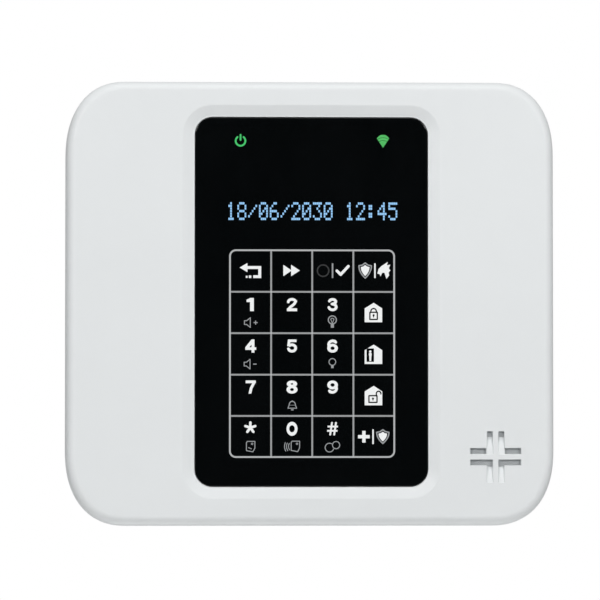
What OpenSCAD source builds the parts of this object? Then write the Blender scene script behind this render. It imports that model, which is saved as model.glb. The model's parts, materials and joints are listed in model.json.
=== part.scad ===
// Wall-mounted alarm keypad panel: a rear housing screwed to the wall, and a
// front housing with a touch keypad, hung on two hinge pins along its top edge.
// Frame: millimetres, +X to the right seen from the front, +Z up, the front
// faces -Y and the wall is the plane y = 0. The origin is the centre of the four
// wall screws.

/* [Panel] */
// Overall width across the front housing
panel_w = 198; // [194:1:204]
// Overall height of the front housing
panel_h = 180; // [178:0.5:186]
// Overall depth from the wall to the front face
panel_d = 55; // [55:1:60]
// Depth of the rear housing behind the parting line
tray_d = 24; // [24:0.5:25]
// Wall thickness of both housings
wall_t = 2.5; // [2.2:0.1:2.6]
// Corner length along the width
corner_a = 24.8; // [22:0.2:27]
// Corner length along the height
corner_b = 31; // [24:0.5:31]
// Squareness of the corners, 2 is an ellipse
corner_e = 2.3; // [2:0.1:2.8]
// Radius of the rounded front edge
edge_r = 3.6; // [3:0.2:4]

/* [Touch window] */
// Width of the touch window
glass_w = 93.6; // [90:0.2:96]
// Height of the touch window
glass_h = 148.4; // [144:0.2:150]
// Corner radius of the touch window
glass_r = 7; // [5:0.5:9]
// How far the window lies below the front face
glass_drop = 1.6; // [1:0.1:1.6]
// Width of the sloping border around the window
slope_w = 4.6; // [3.5:0.1:5]
// Thickness of the window
glass_t = 1.5; // [1.2:0.1:1.6]
// Spacing of the touch keys
key_pitch = 16.5; // [15:0.1:17]

/* [Sounder] */
// Distance of the sounder right of the centre line
sounder_x = 74.5; // [72:0.5:76]
// Distance of the sounder below the centre line
sounder_z = 61.8; // [58:0.2:63]
// Radius of the sounder
sounder_r = 14; // [12:0.5:14]
// Width of the sound slots
slot_w = 2.3; // [1.8:0.1:2.6]

/* [Wall fixing] */
// Spacing of the wall screws across the width
wall_x = 164; // [160:1:166]
// Spacing of the wall screws along the height
wall_z = 100; // [90:1:104]
// Radius of the wall screw holes
wall_r = 2.25; // [2:0.05:2.5]

/* [Hinge] */
// Radius of the hinge pins
pin_r = 1.0; // [0.9:0.05:1.1]
// Distance of each hinge from the centre line
hinge_x = 60; // [56:1:62]

/* [Hidden] */

$fn = 48;
hw = panel_w / 2;                 // half width
hh = panel_h / 2;                 // half height
yf = -panel_d;                    // front face
yr = -tray_d - 0.5;               // rear rim of the front housing
yg = yf + glass_drop;             // front of the touch window
ys = yg + glass_t;                // back of the touch window
yl = ys + 0.3;                    // ledge that carries the window
yk = yf + 5.5;                    // front of the keypad board
yb = yk + 1.6;                    // back of the keypad board
gx = 0.5;                         // window centre
gz = 0.5;
tray_in = 3;                      // rear housing set in at the sides and bottom
tray_top = hh - 8;                // top of the rear housing
tray_bot = -hh + tray_in;
tw = panel_w - 2 * tray_in;
th = tray_top - tray_bot;
tcz = (tray_top + tray_bot) / 2;
hy = yr - 2.5;                    // hinge axis
hz = tray_top + 3;
ym0 = -8;                         // back of the main board
ym = ym0 - 1.6;                   // front of the main board
lock_x = 50;
lock_y = -16;
post_x = 67;
post_z = 12;
lever_y = -17.9;                  // front of the tamper lever
wt_x = 83;                        // wall tamper place
wt_z = 0;

// ---------------------------------------------------------------- helpers
// Rounded rectangle outline, counter-clockwise, corners on a superellipse
function ring(w, h, a, b, e = corner_e, n = 9, cx = 0, cz = 0) = concat(
  [for (i = [0:n]) let (t = 90 * i / n)
    [cx + w/2 - a + a * pow(cos(t), 2/e), cz + h/2 - b + b * pow(sin(t), 2/e)]],
  [for (i = [0:n]) let (t = 90 * i / n)
    [cx - w/2 + a - a * pow(sin(t), 2/e), cz + h/2 - b + b * pow(cos(t), 2/e)]],
  [for (i = [0:n]) let (t = 90 * i / n)
    [cx - w/2 + a - a * pow(cos(t), 2/e), cz - h/2 + b - b * pow(sin(t), 2/e)]],
  [for (i = [0:n]) let (t = 90 * i / n)
    [cx + w/2 - a + a * pow(sin(t), 2/e), cz - h/2 + b - b * pow(cos(t), 2/e)]]);

// Front housing outline set in by d
function cover_ring(d) =
  ring(panel_w - 2*d, panel_h - 2*d, corner_a - 0.8*d, corner_b - 0.8*d);

// Rear housing outline set in by d
function tray_ring(d) =
  ring(tw - 2*d, th - 2*d, corner_a - 2.4 - 0.8*d, corner_b - 2.4 - 0.8*d, cz = tcz);

// Closed skin through rings given as [y, points], ordered from back to front
module loft(rs) {
  m = len(rs[0][1]);
  k = len(rs);
  pts = [for (r = rs) for (p = r[1]) [p[0], r[0], p[1]]];
  polyhedron(points = pts, convexity = 4, faces = concat(
    [[for (i = [0:m-1]) i]],
    [for (j = [0:k-2]) for (i = [0:m-1]) [(j+1)*m + i, (j+1)*m + (i+1) % m, j*m + i]],
    [for (j = [0:k-2]) for (i = [0:m-1]) [(j+1)*m + (i+1) % m, j*m + (i+1) % m, j*m + i]],
    [[for (i = [0:m-1]) (k-1)*m + m - 1 - i]]));
}

// Outline in the XZ plane pushed from y0 to y1
module slab(y0, y1) translate([0, y1, 0]) rotate([90, 0, 0])
  linear_extrude(height = y1 - y0) children();

module box(x0, x1, y0, y1, z0, z1)
  translate([x0, y0, z0]) cube([x1 - x0, y1 - y0, z1 - z0]);

// Cylinders along Y, X and Z
module cyl_y(r, x, z, y0, y1)
  translate([x, y1, z]) rotate([90, 0, 0]) cylinder(r = r, h = y1 - y0);
module cyl_x(r, x0, x1, y, z)
  translate([x0, y, z]) rotate([0, 90, 0]) cylinder(r = r, h = x1 - x0);
module cyl_z(r, x, y, z0, z1)
  translate([x, y, z0]) cylinder(r = r, h = z1 - z0);

// Rounded rectangle in 2-D from squares and circles
module rrect(w, h, r) {
  square([w - 2*r, h], center = true);
  square([w, h - 2*r], center = true);
  for (sx = [-1, 1], sz = [-1, 1])
    translate([sx * (w/2 - r), sz * (h/2 - r)]) circle(r = r);
}

// Tube of radius r swept through points p, with s sides
function unit(v) = v / norm(v);
function tangent(p, i) = unit(p[min(i + 1, len(p) - 1)] - p[max(i - 1, 0)]);
module tube(p, r, s = 8, up = [0.31, 0.12, 0.94]) {
  k = len(p);
  pts = [for (i = [0:k-1]) let (t = tangent(p, i), u = unit(cross(t, up)), v = cross(t, u))
    for (j = [0:s-1]) p[i] + r * (cos(360*j/s) * u + sin(360*j/s) * v)];
  polyhedron(points = pts, convexity = 6, faces = concat(
    [[for (j = [0:s-1]) j]],
    [for (i = [0:k-2]) for (j = [0:s-1]) [(i+1)*s + j, (i+1)*s + (j+1) % s, i*s + j]],
    [for (i = [0:k-2]) for (j = [0:s-1]) [(i+1)*s + (j+1) % s, i*s + (j+1) % s, i*s + j]],
    [[for (j = [0:s-1]) (k-1)*s + s - 1 - j]]));
}

// Smooth path through a few points
function bez(a, b, c, d, t) = a*pow(1-t,3) + b*3*t*pow(1-t,2) + c*3*t*t*(1-t) + d*pow(t,3);

// Pan-head screw along Y: head in front of y, shank behind it
module screw_y(x, z, y, r, len, hr, ht) difference() {
  union() {
    cyl_y(hr, x, z, y - ht, y);
    cyl_y(r, x, z, y - 0.01, y + len);
  }
  box(x - hr*0.55, x + hr*0.55, y - ht - 0.1, y - ht*0.45, z - 0.25, z + 0.25);
  box(x - 0.25, x + 0.25, y - ht - 0.1, y - ht*0.45, z - hr*0.55, z + hr*0.55);
}

// ------------------------------------------------------------ rear housing
board_screw_at = [[-70, -12], [70, -12], [-70, 68], [70, 68]];
supply_screw_at = [[69, -64], [69, -27], [21, -66], [21, -27]];
strap_screw_at = [[-82, -30], [-11, -30]];

module rear_housing() color([0.86, 0.87, 0.87]) difference() {
  union() {
    difference() {
      slab(-tray_d - 2, 0) polygon(tray_ring(0));
      slab(-tray_d - 3, -wall_t) polygon(tray_ring(wall_t));
      box(-hw, hw, -tray_d - 3, -tray_d, 40, hh);          // no lap near the hinge
    }
    for (sx = [-1, 1]) {
      // pockets for the two locking lugs, and bosses for their screws
      box(sx*lock_x - 9, sx*lock_x + 9, -tray_d - 2, -8, tray_bot, tray_bot + 9.25);
      cyl_z(3, sx*lock_x, lock_y, tray_bot + 9, tray_bot + 15.25);
      // hinge ears
      for (s = [-1, 1]) let (cx = sx*hinge_x + s*5) {
        cyl_x(2.2, cx - 1.5, cx + 1.5, hy, hz);
        box(cx - 1.5, cx + 1.5, hy - 1.9, hy + 1.9, tray_top - 5, hz);
        box(cx - 1.5, cx + 1.5, hy - 1.9, -18, tray_top - 5, tray_top - 0.4);
      }
      // wall screw bosses
      for (sz = [-1, 1]) cyl_y(5, sx*wall_x/2, sz*wall_z/2, -4.5, -wall_t + 0.5);
    }
    for (p = board_screw_at) cyl_y(3, p[0], p[1], ym0, -wall_t + 0.5);
    for (p = supply_screw_at) cyl_y(3, p[0], p[1], ym0, -wall_t + 0.5);
    // battery bay ribs
    box(-77, -16.4, -10, -wall_t + 0.5, -71, -69.8);
    box(-16.9, -15.7, -10, -wall_t + 0.5, -71, -38);
    box(-76.9, -76.1, -10, -wall_t + 0.5, -71, -56);
    // strap bosses
    for (p = strap_screw_at) cyl_y(3, p[0], p[1], -6, -wall_t + 0.5);
    // stiffening ribs
    box(-1.2, 0, -5, -wall_t + 0.5, -20, tray_top - 2);
    box(-88, -78, -5, -wall_t + 0.5, 8, 9.2);
    box(78, 88, -5, -wall_t + 0.5, 14, 15.2);
    // cable entry collar
    slab(-4.5, -wall_t + 0.5) translate([-1, -53]) square([22, 30], center = true);
  }
  // lug pockets and screw bores
  for (sx = [-1, 1]) {
    box(sx*lock_x - 7, sx*lock_x + 7, -tray_d - 3, -10, tray_bot - 1, tray_bot + 7.25);
    cyl_z(1.55, sx*lock_x, lock_y, tray_bot + 7, tray_bot + 16);
    cyl_x(pin_r + 0.03, sx*hinge_x - 7, sx*hinge_x + 7, hy, hz);
    for (sz = [-1, 1]) cyl_y(wall_r, sx*wall_x/2, sz*wall_z/2, -6, 1);
  }
  for (p = board_screw_at) cyl_y(1.25, p[0], p[1], ym0 - 1, -wall_t - 0.5);
  for (p = supply_screw_at) cyl_y(1.25, p[0], p[1], ym0 - 1, -wall_t - 0.5);
  for (p = strap_screw_at) cyl_y(1.05, p[0], p[1], -7, -wall_t - 0.2);
  // cable entry through the back
  box(-10, 8, -6, 1, -66, -40);
  // hole for the wall tamper plunger
  cyl_y(2.3, wt_x, wt_z, -4, 1);
}

module hinge_pins() color([0.7, 0.71, 0.73])
  for (sx = [-1, 1]) cyl_x(pin_r, sx*hinge_x - 6.5, sx*hinge_x + 6.5, hy, hz);

module cover_lock_screws() color([0.66, 0.67, 0.7])
  for (sx = [-1, 1]) difference() {
    union() {
      cyl_z(2.75, sx*lock_x, lock_y, tray_bot + 1.45, tray_bot + 3.65);
      cyl_z(1.5, sx*lock_x, lock_y, tray_bot + 3.6, tray_bot + 14);
    }
    box(sx*lock_x - 1.6, sx*lock_x + 1.6, lock_y - 0.35, lock_y + 0.35, tray_bot, tray_bot + 2.4);
    box(sx*lock_x - 0.35, sx*lock_x + 0.35, lock_y - 1.6, lock_y + 1.6, tray_bot, tray_bot + 2.4);
  }

// ---------------------------------------------------------- main electronics
module main_board() color([0.05, 0.32, 0.16]) difference() {
  slab(ym, ym0) translate([0, 28]) square([148, 88], center = true);
  for (p = board_screw_at) cyl_y(1.4, p[0], p[1], ym - 1, ym0 + 1);
}

module main_board_chips() color([0.09, 0.09, 0.1]) {
  box(-48, -34, ym - 1.6, ym, 6, 20);
  box(-26, -16, ym - 1.1, ym, 10, 16);
  box(-66, -60, ym - 1.4, ym, 14, 24);
  box(10, 18, ym - 1.3, ym, 12, 22);
  box(46, 54, ym - 2.2, ym, -10, -3);
  box(-34, -29, ym - 1.2, ym, -6, -1);
  box(24, 29, ym - 1.0, ym, 24, 28);
}

module board_capacitors() color([0.13, 0.13, 0.2])
  for (p = [[32, 16], [42, 16], [32, 2], [-52, -6]]) cyl_y(4, p[0], p[1], ym - 10, ym);

module main_board_screws() color([0.72, 0.72, 0.74])
  for (p = board_screw_at) screw_y(p[0], p[1], ym, 1.2, 5.4, 2.4, 1.7);

module radio_module() color([0.78, 0.79, 0.8]) {
  box(-68, -34, ym - 1, ym, 34, 60);
  box(-66.5, -42, ym - 3.6, ym - 0.9, 35.5, 58.5);
}

module cellular_module() color([0.8, 0.8, 0.82]) {
  box(-26, 8, ym - 1.2, ym, 24, 58);
  box(-24.5, 6.5, ym - 3.4, ym - 1.1, 25.5, 52);
  cyl_y(1.6, -20, 55, ym - 2.6, ym - 1.1);
}

module antenna() color([0.85, 0.74, 0.45]) {
  box(-62, -14, ym - 7, ym - 6.5, 62, 70);
  box(-62, -61.5, ym - 6.9, ym, 64, 68);
  box(-40, -39.5, ym - 6.9, ym, 65, 67);
}

module sim_socket() color([0.12, 0.12, 0.13]) difference() {
  union() {
    box(42, 60, ym - 1.5, ym, 28, 60);
    box(42, 43.3, ym - 4.6, ym, 57, 60);
    box(58.7, 60, ym - 4.6, ym, 57, 60);
  }
  cyl_x(0.66, 41, 61, ym - 3.2, 58.5);
  box(45, 57, ym - 2, ym - 0.6, 33, 52);
}

module sim_lid() color([0.75, 0.76, 0.78]) {
  difference() {
    box(43.6, 58.4, ym - 3.5, ym - 2.9, 30, 58.5);
    box(47, 55, ym - 4, ym - 2, 36, 46);
  }
  cyl_x(1.1, 43.6, 58.4, ym - 3.2, 58.5);
  cyl_x(0.6, 42.1, 43.8, ym - 3.2, 58.5);
  cyl_x(0.6, 58.2, 59.9, ym - 3.2, 58.5);
  box(43.6, 44.0, ym - 3.0, ym - 1.9, 31, 55);
  box(58.0, 58.4, ym - 3.0, ym - 1.9, 31, 55);
}

module sim_card() color([0.93, 0.93, 0.9])
  slab(ym - 2.9, ym - 2.14) polygon([[44, 30.5], [58, 30.5], [58, 52.5], [55, 55.5], [44, 55.5]]);

module network_jack() color([0.14, 0.14, 0.15]) difference() {
  box(-12, 4, ym - 13.4, ym, -16, 0);
  box(-10, 2, ym - 11.4, ym - 3.4, -17, -3);
  box(-7, -1, ym - 12.6, ym - 11, -17, -5);
}

module ribbon_socket() color([0.9, 0.88, 0.8]) difference() {
  box(16.5, 35.5, ym - 4, ym, 60, 65);
  box(17.9, 34.1, ym - 2.3, ym - 1.7, 59, 63);
}

// The ribbon hangs in one loop between the two boards
function ribbon_mid() = let (y0 = ym - 2, y1 = yb + 2, c = (y0 + y1)/2, r = (y0 - y1)/2)
  concat([[y0, 62.8], [y0, 60], [y0, 56]],
    [for (i = [0:24]) [c + r*cos(7.5*i), 52 - r*sin(7.5*i)]],
    [[y1, 56], [y1, 60], [y1, 62.8]]);
module ribbon_cable() color([0.88, 0.86, 0.8]) let (p = ribbon_mid(), k = len(p),
    n = [for (i = [0:k-1]) let (t = unit(p[min(i+1, k-1)] - p[max(i-1, 0)])) [-t[1], t[0]]])
  translate([18, 0, 0]) rotate([90, 0, 90]) linear_extrude(height = 16)
    polygon(concat([for (i = [0:k-1]) p[i] + 0.2*n[i]], [for (i = [k-1:-1:0]) p[i] - 0.2*n[i]]));

// -------------------------------------------------------------- tamper parts
module cover_tamper_switch() color([0.1, 0.1, 0.11]) difference() {
  union() {
    box(63, 71, ym - 7, ym, 8, 28.8);
    box(62.4, 63.8, ym - 9.6, ym, 26.2, 28.8);
    box(70.2, 71.6, ym - 9.6, ym, 26.2, 28.8);
  }
  cyl_x(0.46, 62, 72, lever_y + 0.3, 27.5);
  box(64, 70, ym - 10, ym - 6.4, 25.9, 29);
}

module tamper_lever() color([0.8, 0.81, 0.83]) difference() {
  union() {
    box(64.1, 69.9, lever_y, lever_y + 0.5, 6, 27.5);
    cyl_x(0.95, 64.1, 69.9, lever_y + 0.3, 27.5);
  }
  cyl_x(0.51, 63, 71, lever_y + 0.3, 27.5);
}

module tamper_lever_pin() color([0.7, 0.7, 0.72])
  cyl_x(0.45, 62.4, 71.6, lever_y + 0.3, 27.5);

module wall_tamper_switch() color([0.1, 0.1, 0.11]) difference() {
  box(wt_x - 6, wt_x + 6, -16, -wall_t, wt_z - 6, wt_z + 6);
  cyl_y(3.9, wt_x, wt_z, -11.2, -wall_t + 1);
  cyl_y(1.8, wt_x, wt_z, -15, -11);
}

module wall_tamper_plunger() color([0.85, 0.2, 0.15]) {
  cyl_y(2.0, wt_x, wt_z, -4.5, 0);
  cyl_y(3.5, wt_x, wt_z, -5.4, -4.4);
  cyl_y(1.5, wt_x, wt_z, -13, -5.3);
}

module wall_tamper_spring() color([0.75, 0.76, 0.78])
  tube([for (i = [0:50]) [wt_x + 2.6*cos(36*i), -10.85 + 4.9*i/50 + 0.25, wt_z + 2.6*sin(36*i)]],
    0.22, 6, [0, 1, 0]);

// -------------------------------------------------------------------- battery
cell_r = 7.25;
module battery_pack() color([0.16, 0.35, 0.62]) {
  for (i = [0:3]) cyl_z(cell_r, -68.25 + i*14.3, -3 - cell_r, -69.5, -19);
  box(-68.25, -25.35, -14.5, -6, -69, -19.5);
}

module battery_strap() color([0.83, 0.84, 0.85]) difference() {
  union() {
    box(-78.4, -14.3, -20.2, -18, -35, -25);
    box(-78.4, -76.2, -20.2, -6, -35, -25);
    box(-86, -76.2, -8, -6, -35, -25);
    box(-16.5, -14.3, -20.2, -6, -35, -25);
    box(-16.5, -7, -8, -6, -35, -25);
  }
  for (p = strap_screw_at) cyl_y(1.3, p[0], p[1], -9, -5);
}

module battery_strap_screws() color([0.72, 0.72, 0.74])
  for (p = strap_screw_at) screw_y(p[0], p[1], -8, 1.0, 5, 2.2, 1.5);

module battery_plug() color([0.93, 0.93, 0.91]) difference() {
  box(-66, -57, ym - 6, ym, -13.8, -7);
  box(-65, -58, ym - 6.4, ym - 5, -12.8, -8.4);
}

module battery_lead() color([0.75, 0.1, 0.08]) for (s = [0, 1])
  tube([for (i = [0:8]) bez([-64 + s*3.4, -12.4, -18.94], [-64 + s*3.4, -12.4, -17.4],
    [-63.2 + s*3.4, ym - 3, -15.6], [-63.2 + s*3.4, ym - 3, -13.87], i/8)], 0.75, 8, [1, 0.2, 0]);

// --------------------------------------------------------------- power supply
module supply_board() color([0.62, 0.48, 0.2]) difference() {
  box(16, 74, ym, ym0, -69, -22);
  for (p = supply_screw_at) cyl_y(1.4, p[0], p[1], ym - 1, ym0 + 1);
}

module supply_board_screws() color([0.72, 0.72, 0.74])
  for (p = supply_screw_at) screw_y(p[0], p[1], ym, 1.2, 5.4, 2.4, 1.7);

module supply_transformer() color([0.85, 0.78, 0.3]) {
  box(36, 60, ym - 12, ym, -58, -32);
  box(39, 57, ym - 13.4, ym - 0.1, -56, -34);
}

module supply_capacitor() color([0.12, 0.12, 0.25]) cyl_y(5, 67, -46, ym - 12, ym);

module power_terminal_block() color([0.1, 0.45, 0.2]) difference() {
  box(17, 27, ym - 10, ym, -59, -38);
  for (i = [0:2]) {
    cyl_y(1.95, 22, -55.5 + 7*i, ym - 11, ym - 2);
    cyl_x(1.6, 16, 22, ym - 4.2, -55.5 + 7*i);
  }
}

module terminal_screws() color([0.74, 0.74, 0.76])
  for (i = [0:2]) difference() {
    cyl_y(1.85, 22, -55.5 + 7*i, ym - 9.2, ym - 6.4);
    box(20, 24, ym - 9.5, ym - 8.5, -55.9 + 7*i, -55.1 + 7*i);
  }

module supply_lead() color([0.75, 0.1, 0.08]) for (s = [0, 1])
  tube([for (i = [0:10]) bez([30 + 2.4*s, ym - 0.2, -25], [30 + 2.4*s, ym - 5, -25],
    [30 + 2.4*s, ym - 5, -12], [30 + 2.4*s, ym - 0.2, -12], i/10)], 0.75, 8, [1, 0, 0]);

// --------------------------------------------------------------- front housing
keypad_screw_at = [[-49.5, -66], [49.5, -66], [-49.5, 2], [49.5, 2], [-49.5, 68], [49.5, 68]];
speaker_screw_at = [[sounder_x - sounder_r - 2.8, -sounder_z + 4], [sounder_x, -sounder_z + sounder_r + 3.5]];
grille_gap = 2.3;                 // width of the plain cross between the slots
arm = 10.2;                       // reach of the slots from their centre

module front_housing() color([0.89, 0.9, 0.9]) difference() {
  union() {
    difference() {
      loft(concat([[yr, cover_ring(0)], [yr - 6, cover_ring(0)]],
        [for (i = [0:4]) let (t = 22.5*i)
          [yf + edge_r*1.1 - edge_r*1.1*sin(t), cover_ring(0.9 + edge_r*(1 - cos(t)))]]));
      loft([[yr + 1, cover_ring(wall_t)], [yr - 6, cover_ring(wall_t)],
        [yf + edge_r*1.1 + 1, cover_ring(wall_t + 0.9)], [yf + wall_t, cover_ring(wall_t + 3.2)]]);
    }
    // frame that carries the touch window
    slab(yf + wall_t - 0.5, yl + 1.5) translate([gx, gz])
      square([glass_w + 2*slope_w + 4, glass_h + 2*slope_w + 4], center = true);
    // lip that closes the gap above the rear housing
    slab(yr - 1.5, yr) difference() {
      polygon(cover_ring(1.5));
      polygon(tray_ring(-2));
      translate([-hw, -hh - 5]) square([panel_w, hh + 45]);
      for (sx = [-1, 1]) translate([sx*hinge_x - 7.2, 60]) square([14.4, 40]);
    }
    for (sx = [-1, 1]) {
      // hinge knuckles
      cyl_x(2.3, sx*hinge_x - 3.2, sx*hinge_x + 3.2, hy, hz);
      box(sx*hinge_x - 3.2, sx*hinge_x + 3.2, hy - 2, hy + 2, hz, hh - 1.2);
      // locking lugs
      box(sx*lock_x - 5.5, sx*lock_x + 5.5, yr - 5.5, yr - 2.2, -hh + 1.2, tray_bot + 6.45);
      box(sx*lock_x - 5.5, sx*lock_x + 5.5, yr - 5.5, lock_y + 3.5, tray_bot + 4.45, tray_bot + 6.45);
    }
    // tamper post
    cyl_y(1.75, post_x, post_z, yf + wall_t - 0.5, lever_y - 0.3);
    cyl_y(3.2, post_x, post_z, yf + wall_t - 0.5, yf + 14);
    // keypad board bosses
    for (p = keypad_screw_at) cyl_y(2.6, p[0], p[1], yf + wall_t - 0.5, yk);
    // collar round the sounder, and its bosses
    difference() {
      cyl_y(sounder_r + 1.7, sounder_x, -sounder_z, yf + wall_t - 0.5, yf + 7);
      cyl_y(sounder_r + 0.2, sounder_x, -sounder_z, yf + wall_t, yf + 8);
    }
    for (p = speaker_screw_at) cyl_y(2.3, p[0], p[1], yf + wall_t - 0.5, yf + 12);
  }
  // hollow under the window, its seat, and the sloping border
  slab(yf - 2, yf + 8) translate([gx, gz]) rrect(glass_w - 8, glass_h - 8, 3);
  slab(yf - 1, yl) translate([gx, gz]) rrect(glass_w + 0.4, glass_h + 0.4, glass_r + 0.2);
  loft([for (d = [-0.3, glass_drop + 0.3]) let (k = 0.2 + d * slope_w / glass_drop)
    [yg - d, ring(glass_w + 2*k, glass_h + 2*k, glass_r + k, glass_r + k, 2, 5, gx, gz)]]);
  // sound slots: four right angles round a plain cross
  for (a = [0:90:270]) translate([sounder_x, 0, -sounder_z]) rotate([0, a, 0]) {
    box(grille_gap/2, grille_gap/2 + slot_w, yf - 1, yf + wall_t + 0.2, grille_gap/2, arm);
    box(grille_gap/2, arm, yf - 1, yf + wall_t + 0.2, grille_gap/2, grille_gap/2 + slot_w);
  }
  // bores
  for (sx = [-1, 1]) {
    cyl_x(pin_r + 0.08, sx*hinge_x - 4, sx*hinge_x + 4, hy, hz);
    cyl_z(1.9, sx*lock_x, lock_y, tray_bot + 4, tray_bot + 7);
    box(sx*lock_x - 1.8, sx*lock_x + 1.8, lock_y, lock_y + 6, tray_bot + 4, tray_bot + 7);
  }
  for (p = keypad_screw_at) cyl_y(0.95, p[0], p[1], yk - 2.4, yk + 1);
  for (p = speaker_screw_at) cyl_y(0.95, p[0], p[1], yf + 5, yf + 13);
}

module touch_glass() color([0.03, 0.035, 0.04])
  slab(yg, ys) translate([gx, gz]) rrect(glass_w, glass_h, glass_r);

module glass_adhesive() color([0.2, 0.2, 0.2]) slab(ys, yl) translate([gx, gz]) difference() {
  rrect(glass_w - 1, glass_h - 1, glass_r - 0.5);
  rrect(glass_w - 7, glass_h - 7, 3);
}

module touch_sensor() color([0.75, 0.6, 0.25])
  slab(ys, ys + 0.25) translate([gx, -21.5]) square([82, 90], center = true);

module keypad_light_guide() color([0.9, 0.93, 0.95])
  slab(ys + 0.3, ys + 1.4) translate([gx, -20]) square([5*key_pitch - 8, 5*key_pitch + 4], center = true);

module key_backlight_leds() color([0.95, 0.9, 0.6])
  for (i = [0:3], j = [0:4]) let (x = gx + (i - 1.5)*key_pitch, z = -20.3 + (j - 2)*key_pitch)
    box(x - 0.9, x + 0.9, yk - 0.7, yk, z - 0.5, z + 0.5);

module keypad_board() color([0.05, 0.3, 0.2]) difference() {
  slab(yk, yb) translate([0, 1]) rrect(106, 142, 3);
  for (p = keypad_screw_at) cyl_y(1.15, p[0], p[1], yk - 1, yb + 1);
}

module keypad_board_screws() color([0.72, 0.72, 0.74])
  for (p = keypad_screw_at) translate([0, 2*yb, 0]) mirror([0, 1, 0]) screw_y(p[0], p[1], yb, 0.9, 3.6, 1.9, 1.4);

module keypad_chips() color([0.09, 0.09, 0.1]) {
  box(-12, -2, yb, yb + 1.4, -26, -16);
  box(-34, -26, yb, yb + 1.2, 23, 29);
  box(10, 17, yb, yb + 1.2, -40, -33);
  box(-38, -33, yb, yb + 1.0, -59, -53);
}

module keypad_ribbon_socket() color([0.9, 0.88, 0.8]) difference() {
  box(16.5, 35.5, yb, yb + 4, 60, 65);
  box(17.9, 34.1, yb + 1.7, yb + 2.3, 59, 63);
}

module display_glass() color([0.08, 0.12, 0.2])
  slab(ys, ys + 1.6) translate([gx, 37]) square([80, 22], center = true);

module display_frame() color([0.7, 0.71, 0.73]) slab(ys, yk) translate([gx, 37]) difference() {
  square([83, 25], center = true);
  square([80.2, 22.2], center = true);
}

module indicator_light_guides() color([0.85, 0.93, 0.88])
  for (x = [-28.2, 29.2]) cyl_y(3.1, x, 65.4, ys, yk);

module tag_reader_coil() color([0.72, 0.42, 0.18]) slab(yb, yb + 0.8) translate([0, -14]) difference() {
  rrect(88, 70, 6);
  rrect(80, 62, 3);
}

// -------------------------------------------------------------------- sounder
module speaker_mesh() color([0.88, 0.89, 0.9])
  cyl_y(sounder_r, sounder_x, -sounder_z, yf + wall_t, yf + wall_t + 0.3);

module speaker_gasket() color([0.15, 0.15, 0.15]) difference() {
  cyl_y(sounder_r, sounder_x, -sounder_z, yf + wall_t + 0.3, yf + wall_t + 1.5);
  cyl_y(sounder_r - 2, sounder_x, -sounder_z, yf + wall_t, yf + wall_t + 2);
}

ysp = yf + wall_t + 1.5;          // front of the sounder frame
module speaker_frame() color([0.25, 0.25, 0.27]) difference() {
  union() {
    cyl_y(sounder_r, sounder_x, -sounder_z, ysp, ysp + 1.2);
    cyl_y(sounder_r - 3, sounder_x, -sounder_z, ysp + 1, ysp + 6);
  }
  cyl_y(sounder_r - 2.6, sounder_x, -sounder_z, ysp - 1, ysp + 0.6);
  cyl_y(sounder_r - 4, sounder_x, -sounder_z, ysp - 1, ysp + 5);
  cyl_y(2.6, sounder_x, -sounder_z, ysp, ysp + 7);
}

module speaker_cone() color([0.12, 0.12, 0.13])
  translate([sounder_x, ysp + 0.6, -sounder_z]) rotate([90, 0, 0]) rotate_extrude()
    polygon([[0, -1.75], [2.2, -2.6], [2.2, -4], [2.45, -4], [2.45, -2.6], [4.7, -2.5],
      [sounder_r - 4.8, 0], [sounder_r - 2.7, 0], [sounder_r - 2.7, 0.3], [sounder_r - 3.6, 0.4],
      [sounder_r - 4.8, 0.35], [4.5, -2.1], [2.4, -2.2], [0, -1.4]]);

module speaker_magnet() color([0.4, 0.4, 0.42]) union() {
  difference() {
    cyl_y(7, sounder_x, -sounder_z, ysp + 6, ysp + 9.5);
    cyl_y(2.6, sounder_x, -sounder_z, ysp + 5, ysp + 8);
  }
  cyl_y(1.7, sounder_x, -sounder_z, ysp + 3.6, ysp + 8.2);
}

module speaker_bracket() color([0.7, 0.71, 0.73]) difference() {
  union() {
    slab(ysp + 9.5, ysp + 10.3) polygon([
      [sounder_x - sounder_r - 6, -sounder_z + 1.5], [sounder_x - 4, -sounder_z - 5],
      [sounder_x + 5, -sounder_z - 5], [sounder_x + 5, -sounder_z + 4],
      [sounder_x + 2.5, -sounder_z + sounder_r + 6], [sounder_x - 2.5, -sounder_z + sounder_r + 6],
      [sounder_x - 5, -sounder_z + 7], [sounder_x - sounder_r - 6, -sounder_z + 6.5]]);
    for (p = speaker_screw_at) cyl_y(2.3, p[0], p[1], yf + 12, ysp + 9.6);
  }
  for (p = speaker_screw_at) cyl_y(1.1, p[0], p[1], yf + 11, ysp + 11);
}

module speaker_screws() color([0.72, 0.72, 0.74])
  for (p = speaker_screw_at) translate([0, 2*(ysp + 10.3), 0]) mirror([0, 1, 0])
    screw_y(p[0], p[1], ysp + 10.3, 0.9, 8, 1.9, 1.4);

module speaker_lead() color([0.75, 0.1, 0.08]) for (s = [0, 1])
  tube([for (i = [0:10]) [0, 0, 1.5*s] + bez([sounder_x - 11.3, yf + 8.2, -sounder_z - 3],
    [sounder_x - 16, yf + 8.6, -sounder_z - 3], [54, yb + 3.4, -sounder_z - 2],
    [46, yb + 0.7, -sounder_z], i/10)], 0.55, 6, [0, 1, 0.1]);

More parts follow.
